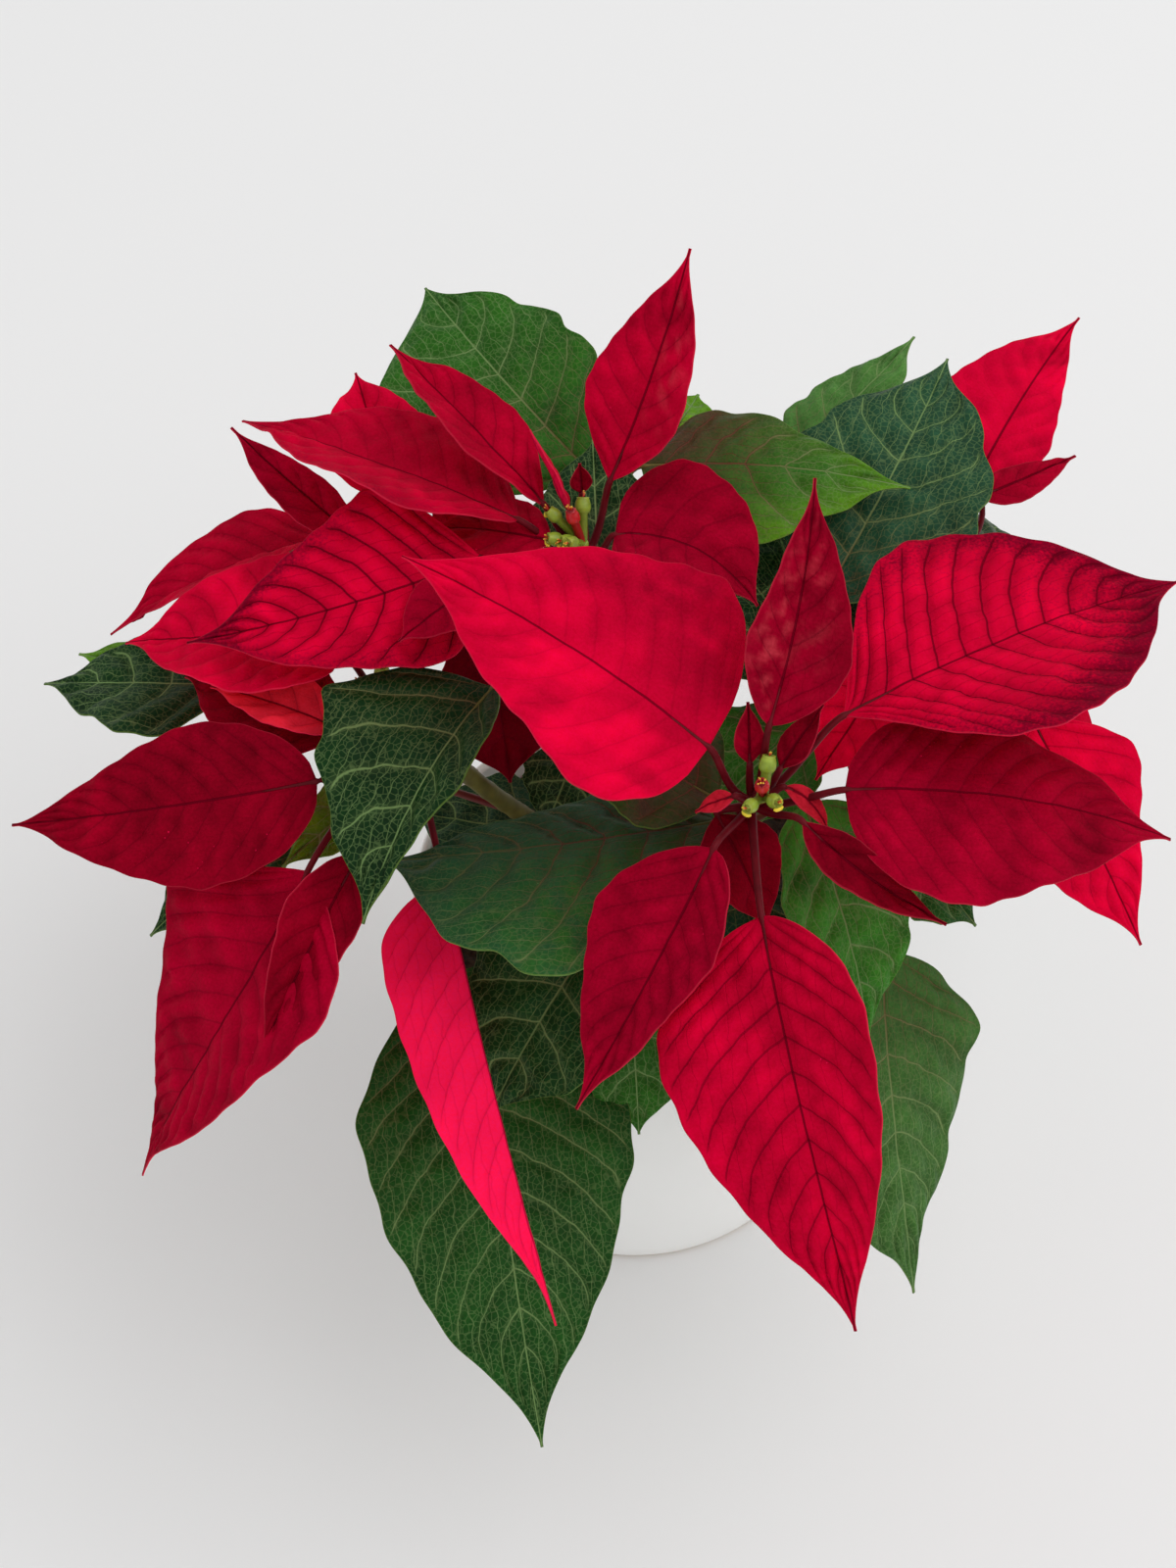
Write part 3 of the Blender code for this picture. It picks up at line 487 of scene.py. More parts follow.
class Surface:
    """Collects pieces of surface, and makes them one mesh object at the end."""

    # Values that each point may carry, and how many numbers each has
    POINT_VALUES = {"tint": 4, "vein_tint": 4, "veins": 3, "place": 3}

    def __init__(self):
        self.parts = []

    def add(self, points, quads, triangles=(), slot=0, uv=None, **values):
        """Keep points in mm, faces as rows of point numbers, and values for each point."""
        points = np.asarray(points, float).reshape(-1, 3)
        quads = np.asarray(quads, int).reshape(-1, 4)
        triangles = np.asarray(triangles, int).reshape(-1, 3)
        uv = np.zeros((len(points), 2)) if uv is None else np.asarray(uv, float).reshape(-1, 2)
        slots = np.broadcast_to(slot, (len(quads) + len(triangles),))
        self.parts.append((points, quads, triangles, slots, uv, values))

    def make(self, name, materials, smooth_shaded=True):
        """Join what was kept into one mesh, in metres, with its values as point attributes."""
        starts = np.cumsum([0] + [len(p[0]) for p in self.parts])
        points = np.vstack([p[0] for p in self.parts])
        quads = np.vstack([p[1] + start for p, start in zip(self.parts, starts)])
        triangles = np.vstack([p[2] + start for p, start in zip(self.parts, starts)])
        slots = np.concatenate([p[3][:len(p[1])] for p in self.parts]
                               + [p[3][len(p[1]):] for p in self.parts])
        uv = np.vstack([p[4] for p in self.parts])
        corners = np.concatenate([quads.ravel(), triangles.ravel()])
        sizes = np.r_[np.full(len(quads), 4), np.full(len(triangles), 3)]
        mesh = bpy.data.meshes.new(name)
        mesh.vertices.add(len(points))
        mesh.vertices.foreach_set("co", (points * MM).astype(np.float32).ravel())
        mesh.loops.add(len(corners))
        mesh.loops.foreach_set("vertex_index", corners.astype(np.int32))
        mesh.polygons.add(len(sizes))
        mesh.polygons.foreach_set("loop_start", np.r_[0, np.cumsum(sizes)[:-1]].astype(np.int32))
        mesh.polygons.foreach_set("material_index", slots.astype(np.int32))
        mesh.polygons.foreach_set("use_smooth", np.full(len(sizes), smooth_shaded))
        mesh.update(calc_edges=True)
        layer = mesh.uv_layers.new(name="skin")
        layer.data.foreach_set("uv", uv[corners].astype(np.float32).ravel())
        for key, width in self.POINT_VALUES.items():
            kept = [np.broadcast_to(p[5].get(key, np.zeros(width)), (len(p[0]), width))
                    for p in self.parts]
            form, field = ("FLOAT_COLOR", "color") if width == 4 else ("FLOAT_VECTOR", "vector")
            attribute = mesh.attributes.new(key, form, "POINT")
            attribute.data.foreach_set(field, np.vstack(kept).astype(np.float32).ravel())
        for material in materials:
            mesh.materials.append(material)
        mesh.validate()
        piece = bpy.data.objects.new(name, mesh)
        bpy.context.scene.collection.objects.link(piece)
        return piece


def blade_base(row):
    """Place a blade's base at the end of its straight-line stalk."""
    length, heading, rise = row["petiole"]
    return STEMS[row["head"]].below_tip(row["below"]) + length * direction(heading, rise)


def blade_frame(row, t):
    """Give the midrib's direction, the blade's side and its upward normal at t from base to tip."""
    heading = row["aim"][0] + row["sweep"] * t
    rise = row["aim"][1] - row["bend"] * t
    along = direction(heading, rise)
    h = np.radians(heading)
    side = np.stack([-np.sin(h), np.cos(h), 0 * h], -1)
    up = np.cross(along, side)
    roll = np.radians(row["roll"])
    return along, side * np.cos(roll) + up * np.sin(roll), up * np.cos(roll) - side * np.sin(roll)


def midrib(row, t):
    """Add up the midrib's direction over its length, which gives its points at t."""
    steps = (np.arange(MIDRIB_STEPS) + 0.5) / MIDRIB_STEPS
    along = blade_frame(row, steps)[0] * row["size"][0] / MIDRIB_STEPS
    path = np.vstack([np.zeros(3), np.cumsum(along, axis=0)]) + blade_base(row)
    return along_path(t, np.linspace(0, 1, MIDRIB_STEPS + 1), path)


def half_width(row, t):
    """Outline: a quarter sine up to the widest part, then a power fall that eases to a thin tip."""
    peak, fullness, roundness, _ = row["shape"]
    rise = np.sin(np.pi / 2 * np.clip(t / peak, 0, 1)) ** roundness
    past = np.clip((t - peak) / (1 - peak), 0, 1)
    thin = (1 - TIP_NARROWING * past ** 4) * (1 - TIP_THINNING * smooth(past, *THIN_TIP))
    fall = (1 - past ** fullness) * thin
    return np.where(t < peak, rise, fall) * row["size"][1] / 2


def fold_angle(row, t):
    """Give the fold of each half in radians at t. It eases off where the blade is narrow."""
    return np.radians(row["fold"]) * np.clip(half_width(row, t) / FOLD_EASING, 0, 1)


def petiole_curve(row):
    """Bend a stalk from beside the stem's axis into the blade, and on under its midrib.

    The bend is a cubic curve that leaves along the stalk's heading and arrives along the blade's.
    """
    end = blade_base(row)
    start = STEMS[row["head"]].below_tip(row["below"])
    span = np.linalg.norm(end - start)
    leave = direction(row["petiole"][1], LEAVING_RISE * row["petiole"][2])
    arrive = direction(*row["aim"])
    start = start + leave * STALK_START
    t = np.linspace(0, 1, STALK_POINTS)[:, None]
    curve = ((2 * t ** 3 - 3 * t ** 2 + 1) * start + (t ** 3 - 2 * t ** 2 + t) * span * leave
             + (3 * t ** 2 - 2 * t ** 3) * end + (t ** 3 - t ** 2) * span * ARRIVAL * arrive)
    inlay = np.linspace(*INLAY, INLAY_POINTS)
    return np.vstack([curve, midrib(row, inlay) - blade_frame(row, inlay)[2] * INLAY_DEPTH])


def grid_quads(index):
    """Join a grid of point numbers by quads."""
    quads = np.stack([index[:-1, :-1], index[1:, :-1], index[1:, 1:], index[:-1, 1:]], -1)
    return quads.reshape(-1, 4)


def sheet_faces(rows, columns):
    """Join a grid's top and bottom points by quads, and close the rim between them."""
    index = np.arange((rows + 1) * (columns + 1)).reshape(rows + 1, columns + 1)
    under = index.size
    top = grid_quads(index)
    bottom = top[:, ::-1] + under
    ring = np.r_[index[:, 0], index[-1, 1:], index[-2::-1, -1], index[0, -2:0:-1]]
    after = np.roll(ring, -1)
    rim = np.stack([ring, ring + under, after + under, after], 1)
    slots = np.r_[np.zeros(len(top)), np.ones(len(bottom)), np.zeros(len(rim))]
    return np.vstack([top, bottom, rim]), slots


def vein_count(row):
    """Count the side veins on each half: one for every VEIN_SPACING mm of its kind."""
    return np.clip(row["size"][0] / VEIN_SPACING[row["kind"]], 4, 13)


def side_veins(row, t, s):
    """Number the side veins: whole numbers lie on lines from the midrib that bend to the tip."""
    away = np.abs(s)
    place = t - VEIN_SLANT * away - VEIN_BEND * away ** 2 + VEIN_STAGGER * s
    return vein_count(row) * place + FIRST_VEIN


def blade_colours(row, settings, points, relief_shade, t, s, seed):
    """Paint a blade's upper and under side, point by point.

    Upper side: the tone of the row under two uneven fields, with painted light where the relief
    stands high and painted shade where it is low, and with the soft patches of the row. Its alpha
    holds how thickly stains lie there, more towards the margin and the tip. Under side: one paler
    tone. Veins have their own tone, which is mixed towards the stalk's near the base of a leaf.
    """
    clouds = ripple(points, CLOUD_SIZE, seed)[..., None]
    grain = ripple(points, GRAIN_SIZE, seed + 500)[..., None]
    flames = ripple(points * np.array([1.0, 1.0, 0.6]), FLAME_SIZE, seed + 700)[..., None]
    # Painted light and shade: high holds the relief height, which lightens lumps and darkens
    # hollows
    high = np.clip(relief_shade, -1.5, 1.5)[..., None]
    light = 1 + CLOUD_SHARE * clouds + GRAIN_SHARE * grain + RELIEF_SHADE_SHARE * high
    tone = np.array(getattr(settings, row["tone"])) * row["shade"] * light
    outward = np.clip(np.abs(s) ** 3 * 0.5 + np.clip(t - 0.75, 0, 1) * 2.2, 0, 1)[..., None]
    stain = row["stain"] * (0.35 + 0.65 * outward + 0.25 * grain + 0.25 * clouds)
    reddened = BASE_REDDENING * bell(t, 0.35)[..., None]
    for name, most, at_t, at_s, reach_t, reach_s in row["patches"]:
        spot = most * np.exp(-((t - at_t) / reach_t) ** 2 - ((s - at_s) / reach_s) ** 2)[..., None]
        if name == "stain":
            stain = stain + spot
        elif name == "red_veins":
            reddened = reddened + spot
        else:
            broken = 1 + 0.45 * grain
            # Mottles lie where a field plus the relief height is high: pale marks, and painted
            # highlight on the lumps
            if name == "mottle_and_highlight":
                broken = smooth(flames + 0.4 * high, -0.1, 0.9)
            spot = np.clip(spot * broken, 0, 1)
            tone = tone * (1 - spot) + np.array(getattr(settings, name)) * spot
    reddened = np.clip(reddened, 0, 0.9) * (row["kind"] == "leaf")
    below = np.array(settings.under) * row["shade"] * (1 + 0.10 * clouds)
    vein_up = np.array(settings.vein) * (1 - reddened) + np.array(settings.stalk) * reddened
    vein_down = np.broadcast_to(np.array(settings.under_vein), tone.shape)
    alphas = (np.clip(stain, 0, MOST_STAIN), 0 * stain, 0 * stain, 0 * stain)
    return [np.concatenate([c, a], -1).reshape(-1, 4)
            for c, a in zip((tone, below, vein_up, vein_down), alphas)]


def blade_grid(row):
    """Give the places along (t, 0 to 1) and across (s, -1 to 1) of a blade's grid."""
    length, width = row["size"]
    rows = int(np.clip(length / GRID_ALONG, 18, 110))
    columns = int(np.clip(width / GRID_ACROSS / 2, 5, 24))
    half = np.sort(np.r_[np.linspace(0, 1, columns + 1)[1:], EXTRA_COLUMNS])
    return np.linspace(0, 1, rows + 1), np.r_[-half[::-1], 0, half]


def blade_middle(row, t, s, start):
    """Lay the middle surface: along the midrib, and out to the lobed outline in a rounded V.

    Gives its points, the reach from the midrib to the outline, and the fold.
    """
    _, side, up = blade_frame(row, t)
    count, depth = row["lobes"]
    turns = 2 * np.pi * t[:, None]
    lobed = 1 + depth * np.sin(count * turns + 1.2 * np.sign(s))
    lobed = lobed + NIBBLE_DEPTH * np.sin(NIBBLES * turns + start + 2 * np.sign(s))
    uneven = 1 + row["shape"][3] * np.sign(s)
    reach = np.maximum(half_width(row, t)[:, None] * lobed * uneven, LEAST_HALF_WIDTH)
    fold = fold_angle(row, t)[:, None]
    rounded = np.sqrt(s ** 2 + FOLD_ROUNDING ** 2) - FOLD_ROUNDING
    across = (reach * s * np.cos(fold))[..., None]
    lift = (reach * rounded * np.sin(fold))[..., None]
    return midrib(row, t)[:, None] + side[:, None] * across + up[:, None] * lift, reach, fold


def blade_relief(row, middle, t, s, quilting, draw, seed):
    """Give a blade's relief in mm, and the relief height that its colour follows as painted light
    and shade.

    Cushions lie between the side veins, as the absolute sine of the vein number. Puckers are two
    uneven fields, and a slow wave runs along the margin. All of them fade at the base and the tip.
    """
    away = np.abs(s)
    spacing = row["size"][0] / vein_count(row)
    ends = smooth(t, 0.0, 0.12) * (1 - smooth(t, 0.80, 0.97))
    inner = smooth(away, 0.0, 0.25) * (1 - smooth(away, 0.80, 1.0))
    cushion = np.abs(np.sin(np.pi * side_veins(row, t, s))) ** 0.75 - 0.35
    quilt = quilting * spacing / QUILTING_SPACING * cushion * inner * ends
    wave = np.sin(2 * np.pi * draw.uniform(2.0, 3.2) * t + draw.uniform(0, 6) + 1.3 * np.sign(s))
    wave = wave * away ** 3 * ends * min(row["size"][1] / FULL_WAVE_WIDTH, 1.2)
    pucker = ripple(middle, PUCKER_SIZE, seed + 900)
    pucker = pucker + 0.8 * ripple(middle, PUCKER_SIZE / 2, seed + 901)
    pucker = PUCKER_HEIGHT * pucker * (0.4 + 0.6 * inner) * ends
    return quilt + pucker + wave, 0.5 * quilt + 1.3 * pucker


def add_blade(surface, row, settings, seed):
    """Lay a blade as two fine skins with a rim.

    Both skins stand half the thickness off the middle surface and carry the same relief. The upper
    one has a groove on the midrib and the under one a ridge. Waves stop at the CAD model's box.
    """
    draw = np.random.default_rng(seed)
    rows, columns = blade_grid(row)
    middle, reach, fold = blade_middle(row, rows, columns, draw.uniform(0, 6))
    normal = unit(np.cross(np.gradient(middle, axis=0), np.gradient(middle, axis=1)))
    t, s = np.meshgrid(rows, columns, indexing="ij")
    relief, relief_shade = blade_relief(row, middle, t, s, settings.quilting / MM, draw, seed)
    relief = relief * np.cos(fold)
    off_rib = np.abs(s) * reach
    rib = RIB_WIDTH * (2 - t)
    fading = 1 - smooth(t, 0.85, 1.0)
    groove = GROOVE_DEPTH * bell(off_rib, GROOVE_WIDTH) * fading
    ridge = RIDGE_HEIGHT * rib * bell(off_rib, 0.8 * rib) * fading
    top = middle + normal * (relief + BLADE_THICKNESS / 2 - groove)[..., None]
    bottom = middle + normal * (relief - BLADE_THICKNESS / 2 - ridge)[..., None]
    low, high = (np.array(corner) / MM for corner in CAD_BOX)
    skins = np.clip(np.vstack([top.reshape(-1, 3), bottom.reshape(-1, 3)]), low, high)

    quads, slots = sheet_faces(len(rows) - 1, len(columns) - 1)
    upper, under, vein_up, vein_down = blade_colours(row, settings, middle, relief_shade, t, s, seed)
    spacing = np.full_like(t, row["size"][0] / vein_count(row) * 0.85)
    veins = np.stack([side_veins(row, t, s), spacing, off_rib / (0.45 * rib)], -1)
    strength = row["veins"] * smooth(t, 0, 0.05) * (1 - smooth(t, 0.86, 0.99))
    place = np.stack([(1 - np.abs(s)) * reach, strength, off_rib], -1)
    uv = np.stack([t, (s + 1) / 2], -1)
    surface.add(skins, quads, slot=slots, uv=np.vstack([uv, uv]), tint=np.vstack([upper, under]),
                vein_tint=np.vstack([vein_up, vein_down]),
                veins=np.vstack([veins, veins]).reshape(-1, 3),
                place=np.vstack([place, place]).reshape(-1, 3))


def tube(path, radius, sides):
    """Carry a circle along a path: points are the path plus radius times the turning cross axes."""
    path = np.asarray(path, float)
    along = unit(np.gradient(path, axis=0))
    reference = [0.99, 0.1, 0.05] if abs(along[0, 1]) > 0.8 else [0.13, 0.99, 0.05]
    first = unit(np.cross(along, reference))
    second = np.cross(along, first)
    angle = 2 * np.pi * np.arange(sides) / sides
    radius = np.broadcast_to(np.asarray(radius, float), (len(path),))[:, None, None]
    off = first[:, None] * np.cos(angle)[:, None] + second[:, None] * np.sin(angle)[:, None]
    points = np.vstack([(path[:, None] + radius * off).reshape(-1, 3), path[:1], path[-1:]])
    return points, *ring_faces(len(path), sides)


def ring_faces(rings, sides):
    """Join rings of points by quads, and close both ends with triangles to two last points."""
    step = np.arange(rings - 1)[:, None] * sides
    here = np.arange(sides)[None, :]
    beside = (here + 1) % sides
    a, b = (step + here).ravel(), (step + beside).ravel()
    quads = np.stack([a, b, b + sides, a + sides], 1)
    here, beside = here.ravel(), beside.ravel()
    last = (rings - 1) * sides
    start = np.stack([0 * here + rings * sides, beside, here], 1)
    end = np.stack([0 * here + rings * sides + 1, last + here, last + beside], 1)
    return quads, np.vstack([start, end])


def lathe(profile, sides):
    """Turn a profile of (radius, height), which starts and ends on the axis, about the z axis."""
    profile = np.asarray(profile, float)
    angle = 2 * np.pi * np.arange(sides) / sides
    middle = profile[1:-1]
    rings = np.stack([middle[:, :1] * np.cos(angle), middle[:, :1] * np.sin(angle),
                      middle[:, 1:] + 0 * angle], -1).reshape(-1, 3)
    points = np.vstack([rings, [[0, 0, profile[0, 1]], [0, 0, profile[-1, 1]]]])
    return points, *ring_faces(len(middle), sides)


def paint(points, low, high, share, seed, spread=0.12, size=9):
    """Mix two colours by share for each point, with an uneven field of brightness over them."""
    share = np.broadcast_to(share, (len(points),))[:, None]
    colour = np.array(low) * (1 - share) + np.array(high) * share
    colour = colour * (1 + spread * ripple(points, size, seed)[:, None])
    return np.hstack([colour, np.ones((len(points), 1))])


def add_stalk(surface, row, settings, seed):
    """Run a blade's stalk: thick where it leaves the stem, slim where it enters the midrib."""
    path = petiole_curve(row)
    share = np.linspace(0, 1, len(path))
    radius = PETIOLE_RADIUS * (1 - STALK_TAPER * share) * (1 + 0.25 * bell(share, 0.05))
    radius[-INLAY_POINTS:] = np.linspace(*INLAY_RADII, INLAY_POINTS) * PETIOLE_RADIUS
    points, quads, triangles = tube(path, radius, STALK_SIDES)
    along = np.r_[np.repeat(share, STALK_SIDES), 0, 1]
    surface.add(points, quads, triangles, slot=2, uv=np.stack([along, along], 1),
                tint=paint(points, settings.stalk, settings.stalk_end, along, seed))


def gather(head, kind):
    """Pick one branch's bracts or leaves, each with its number in the list."""
    return [(number, row) for number, row in enumerate(BLADES)
            if row["head"] == head and row["kind"] == kind]


def add_blades(surface, head, kind, settings):
    """Add one branch's bracts or leaves, each with its stalk."""
    for number, row in gather(head, kind):
        add_blade(surface, row, settings, BLADE_SEED + number)
        add_stalk(surface, row, settings, STALK_SEED + number)


class Skin:
    """One new material, with short ways to add nodes to it."""

    def __init__(self, name):
        self.material = bpy.data.materials.new(name)
        self.material.use_nodes = True
        self.tree = self.material.node_tree
        self.shader = self.tree.nodes["Principled BSDF"]

    def fill(self, target, inputs):
        """Fill a node's inputs with values or links."""
        for key, value in inputs.items():
            if isinstance(value, bpy.types.NodeSocket):
                self.tree.links.new(value, target.inputs[key])
            else:
                target.inputs[key].default_value = value

    def finish(self, inputs):
        """Fill the shader's inputs, and give the material."""
        self.fill(self.shader, inputs)
        return self.material

    def add(self, kind, inputs=(), output=0, **settings):
        """Add a node, and give one of its outputs."""
        made = self.tree.nodes.new(kind)
        for key, value in settings.items():
            setattr(made, key, value)
        self.fill(made, dict(inputs))
        return made.outputs[output]

    def math(self, operation, first, second=0.0, third=0.0):
        """Add a Math node."""
        return self.add("ShaderNodeMath", {0: first, 1: second, 2: third}, operation=operation)

    def times(self, first, second):
        """Multiply two values."""
        return self.math("MULTIPLY", first, second)

    def weighted(self, value, weight, rest):
        """Multiply a value by its weight, and add the rest."""
        return self.math("MULTIPLY_ADD", value, weight, rest)

    def off_whole(self, number, spacing):
        """Give the distance of a number from the nearest whole one, times a spacing."""
        return self.times(self.math("PINGPONG", number, 0.5), spacing)

    def blend(self, share, first, second, how="MIX"):
        """Mix two colours by a share."""
        return self.add("ShaderNodeMix", {0: share, 6: first, 7: second}, output=2,
                        data_type="RGBA", blend_type=how)

    def falling(self, value, low, high, top=1.0):
        """Fall smoothly from top to 0 while a value goes from low to high."""
        return self.add("ShaderNodeMapRange",
                        {"Value": value, "From Min": low, "From Max": high, "To Min": top,
                         "To Max": 0.0}, interpolation_type="SMOOTHSTEP")

    def attribute(self, name, output):
        """Read a point attribute of the piece: 0 as a colour, 1 as a vector, 3 its alpha."""
        return self.add("ShaderNodeAttribute", output=output, attribute_name=name)

    def split(self, vector):
        """Give the three numbers of a vector."""
        return self.add("ShaderNodeSeparateXYZ", {0: vector}).node.outputs[:]

    def place(self):
        """Give the place on the object."""
        return self.add("ShaderNodeTexCoord", output=3)

    def noise(self, scale, detail):
        """Add a noise field that lies fixed in the object."""
        return self.add("ShaderNodeTexNoise",
                        {"Vector": self.place(), "Scale": scale, "Detail": detail})

    def bump(self, height, strength, distance):
        """Raise the surface by a height, by up to distance metres."""
        return self.add("ShaderNodeBump",
                        {"Height": height, "Strength": strength, "Distance": distance})


# How each side of a blade looks: shares of the painted shade beside the side veins, of the rungs,
# the net and the margin line (painted rim light on bracts) in its colour, width of a side vein in
# mm, whether the lines rise (1) or sink (-1), and the gloss
BLADE_SIDES = {
    "leaf_upper": dict(valley_shade=0.10, rung=0.50, net=0.30, edge=0.45, width=0.42, raised=-1.0,
                       roughness=0.45, gloss=0.09),
    "leaf_under": dict(valley_shade=0.0, rung=0.45, net=0.16, edge=0.45, width=0.55, raised=1.0,
                       roughness=0.6, gloss=0.1),
    "bract_upper": dict(valley_shade=0.22, rung=0.12, net=0.0, edge=0.22, width=0.40, raised=-1.0,
                        roughness=0.65, gloss=0.02),
    "bract_under": dict(valley_shade=0.10, rung=0.60, net=0.0, edge=0.22, width=0.50, raised=1.0,
                        roughness=0.7, gloss=0.03),
}


def blade_material(name, edge, stain, velvet=None):
    """Skin of a blade.

    The tint attribute gives the ground colour, with fine specks on it, and its alpha says how
    thickly stains lie there: they show where alpha plus noise passes 1. Lines in the vein tint lie
    where the vein number is whole and along the midrib. Rungs between two side veins lie where the
    distance from the midrib, in rung steps, plus a drawn start for each gap is whole. A fine net
    follows the cells of a Voronoi pattern. Soft valleys run beside the side veins, with painted
    shade in the vein tint in them. The margin carries a thin line, which on bracts is painted rim
    light. Lines and valleys sink or raise the surface too.
    """
    look = BLADE_SIDES[name]
    skin = Skin(name)
    margin, strength, off_rib = skin.split(skin.attribute("place", 1))
    number, spacing, rib_share = skin.split(skin.attribute("veins", 1))
    warp = skin.noise(WARP_SCALE, 1.0)
    number = skin.weighted(warp, VEIN_WOBBLE, number)
    off_vein = skin.off_whole(number, spacing)
    inside = skin.times(strength, skin.falling(margin, *PLAIN_MARGIN))
    side = skin.times(skin.falling(off_vein, look["width"] * 0.3, look["width"]), inside)
    # Valleys beside the side veins; in the colour they are painted shade
    valley_shade = skin.times(skin.falling(off_vein, 0.0, VALLEY_SHADE_WIDTH), inside)
    rib = skin.falling(rib_share, *RIB_EDGE)
    gap_start = skin.add("ShaderNodeTexWhiteNoise", {"W": skin.math("FLOOR", number)},
                         noise_dimensions="1D")
    rung_number = skin.weighted(off_rib, 1 / RUNG_SPACING, gap_start)
    rung_number = skin.weighted(warp, RUNG_WOBBLE, rung_number)
    rung = skin.falling(skin.off_whole(rung_number, RUNG_SPACING), *RUNG_EDGE)
    rung = skin.times(rung, inside)

    speck = skin.noise(SPECK_SCALE, 2.0)
    stained = skin.math("ADD", skin.attribute("tint", 3), speck)
    stained = skin.falling(skin.weighted(valley_shade, 0.08, stained), *STAIN_EDGE, STAIN_SHARE)
    colour = skin.blend(SPECK_SHARE, skin.attribute("tint", 0), speck, how="SOFT_LIGHT")
    colour = skin.blend(stained, colour, (*stain, 1.0))
    vein_tint = skin.attribute("vein_tint", 0)
    # Painted shade in the valleys beside the side veins
    colour = skin.blend(skin.times(valley_shade, look["valley_shade"]), colour, vein_tint)
    if look["net"]:
        off_cell = skin.add("ShaderNodeTexVoronoi", {"Vector": skin.place(), "Scale": NET_SCALE},
                            feature="DISTANCE_TO_EDGE")
        colour = skin.blend(skin.falling(off_cell, *NET_EDGE, look["net"]), colour, vein_tint)
    for line, share in ((rung, look["rung"]), (side, SIDE_VEIN_SHARE), (rib, RIB_SHARE)):
        colour = skin.blend(skin.times(line, share), colour, vein_tint)
    # A thin line along the margin: on bracts painted rim light, the glow of the thin edge; on
    # leaves a yellow-green line
    margin_line_and_rim_light = skin.falling(margin, *MARGIN_EDGE, look["edge"])
    colour = skin.blend(margin_line_and_rim_light, colour, (*edge, 1.0))

    lines = skin.math("ADD", side, skin.weighted(rung, 0.6, rib))
    lines = skin.weighted(valley_shade, 1.4, lines)
    height = skin.weighted(lines, look["raised"], skin.times(speck, 0.5))
    if velvet is not None:
        skin.finish({"Sheen Weight": 0.02, "Sheen Roughness": 0.4, "Sheen Tint": (*velvet, 1.0)})
    return skin.finish({"Base Color": colour, "Normal": skin.bump(height, 0.6, 0.0005),
                        "Roughness": look["roughness"], "Specular IOR Level": look["gloss"]})


def stalk_material(name, roughness, grain, gloss):
    """Skin of stems and stalks: the tint attribute with long streaks and a slight grain."""
    skin = Skin(name)
    streak = skin.noise(grain, 3.0)
    colour = skin.blend(0.5, skin.attribute("tint", 0), streak, how="SOFT_LIGHT")
    return skin.finish({"Base Color": colour, "Normal": skin.bump(streak, 0.35, 0.0003),
                        "Roughness": roughness, "Specular IOR Level": gloss})


def glaze_material(settings):
    """Glaze: a warm white with faint clouds, and a thin warm band, rougher, where the pot meets the
    floor.
    """
    skin = Skin("white_glaze")
    cloudy = skin.blend(0.10, (*settings.glaze, 1.0), skin.noise(22.0, 3.0), how="SOFT_LIGHT")
    band = skin.falling(skin.split(skin.place())[2], 0.0008, 0.0018)
    colour = skin.blend(band, cloudy, (*settings.warm_foot_band, 1.0))
    rough = skin.add("ShaderNodeMapRange", {"Value": band, "To Min": 0.24, "To Max": 0.75})
    waves = skin.bump(skin.noise(60.0, 2.0), 0.12, 0.0004)
    return skin.finish({"Base Color": colour, "Normal": waves, "Roughness": rough,
                        "Coat Weight": 0.4, "Coat Roughness": 0.12})


def soil_material(settings):
    """Moist peat: one noise sets colour and relief, dark brown where it is low and paler brown
    where it is high, with a rough grain.
    """
    skin = Skin("moist_peat")
    clods = skin.noise(240.0, 6.0)
    share = skin.add("ShaderNodeMapRange", {"Value": clods, "From Min": 0.35, "From Max": 0.7})
    colour = skin.blend(share, (*settings.dark_peat, 1.0), (*settings.light_peat, 1.0))
    return skin.finish({"Base Color": colour, "Normal": skin.bump(clods, 0.9, 0.0012),
                        "Roughness": 0.92})


def floor_material(settings):
    """Plain matte floor."""
    return Skin("pale_floor").finish({"Base Color": (*settings.floor, 1.0), "Roughness": 0.8,
                                      "Specular IOR Level": 0.2})


def finish_piece(piece, node_name):
    """Let a piece stand for its solid, and ride on the one body."""
    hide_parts(node_name)
    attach(piece, BODY)


def colour_property(name, description, default):
    """Make a setting that is a colour, given as a screen shows it."""
    return bpy.props.FloatVectorProperty(name=name, description=description, subtype="COLOR",
                                         size=3, min=0.0, max=1.0, default=srgb(*default))


def number_property(name, description, default, unit="LENGTH"):
    """Make a setting that is one number, in metres unless its unit says else."""
    return bpy.props.FloatProperty(name=name, description=description, default=default, unit=unit)


class PotSettings(bpy.types.PropertyGroup):
    """Sizes and colours of the pot and its soil."""

    height: number_property("Pot height", "From the floor to the top of the rim",
                            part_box("pot")[1].z)
    rim_radius: number_property("Rim radius", "Outside radius at the rim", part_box("pot")[1].x)
    foot_radius: number_property("Foot radius", "Outside radius at the floor", 0.076)
    glaze: colour_property("Glaze", "White of the glaze", (250, 250, 248))
    # A thin warm band along the foot
    warm_foot_band: colour_property("Bare foot", "Thin bare band at the foot", (212, 194, 172))
    dark_peat: colour_property("Dark peat", "Hollows of the soil", (30, 22, 17))
    light_peat: colour_property("Light peat", "Crumbs and fibres of the soil", (84, 62, 45))


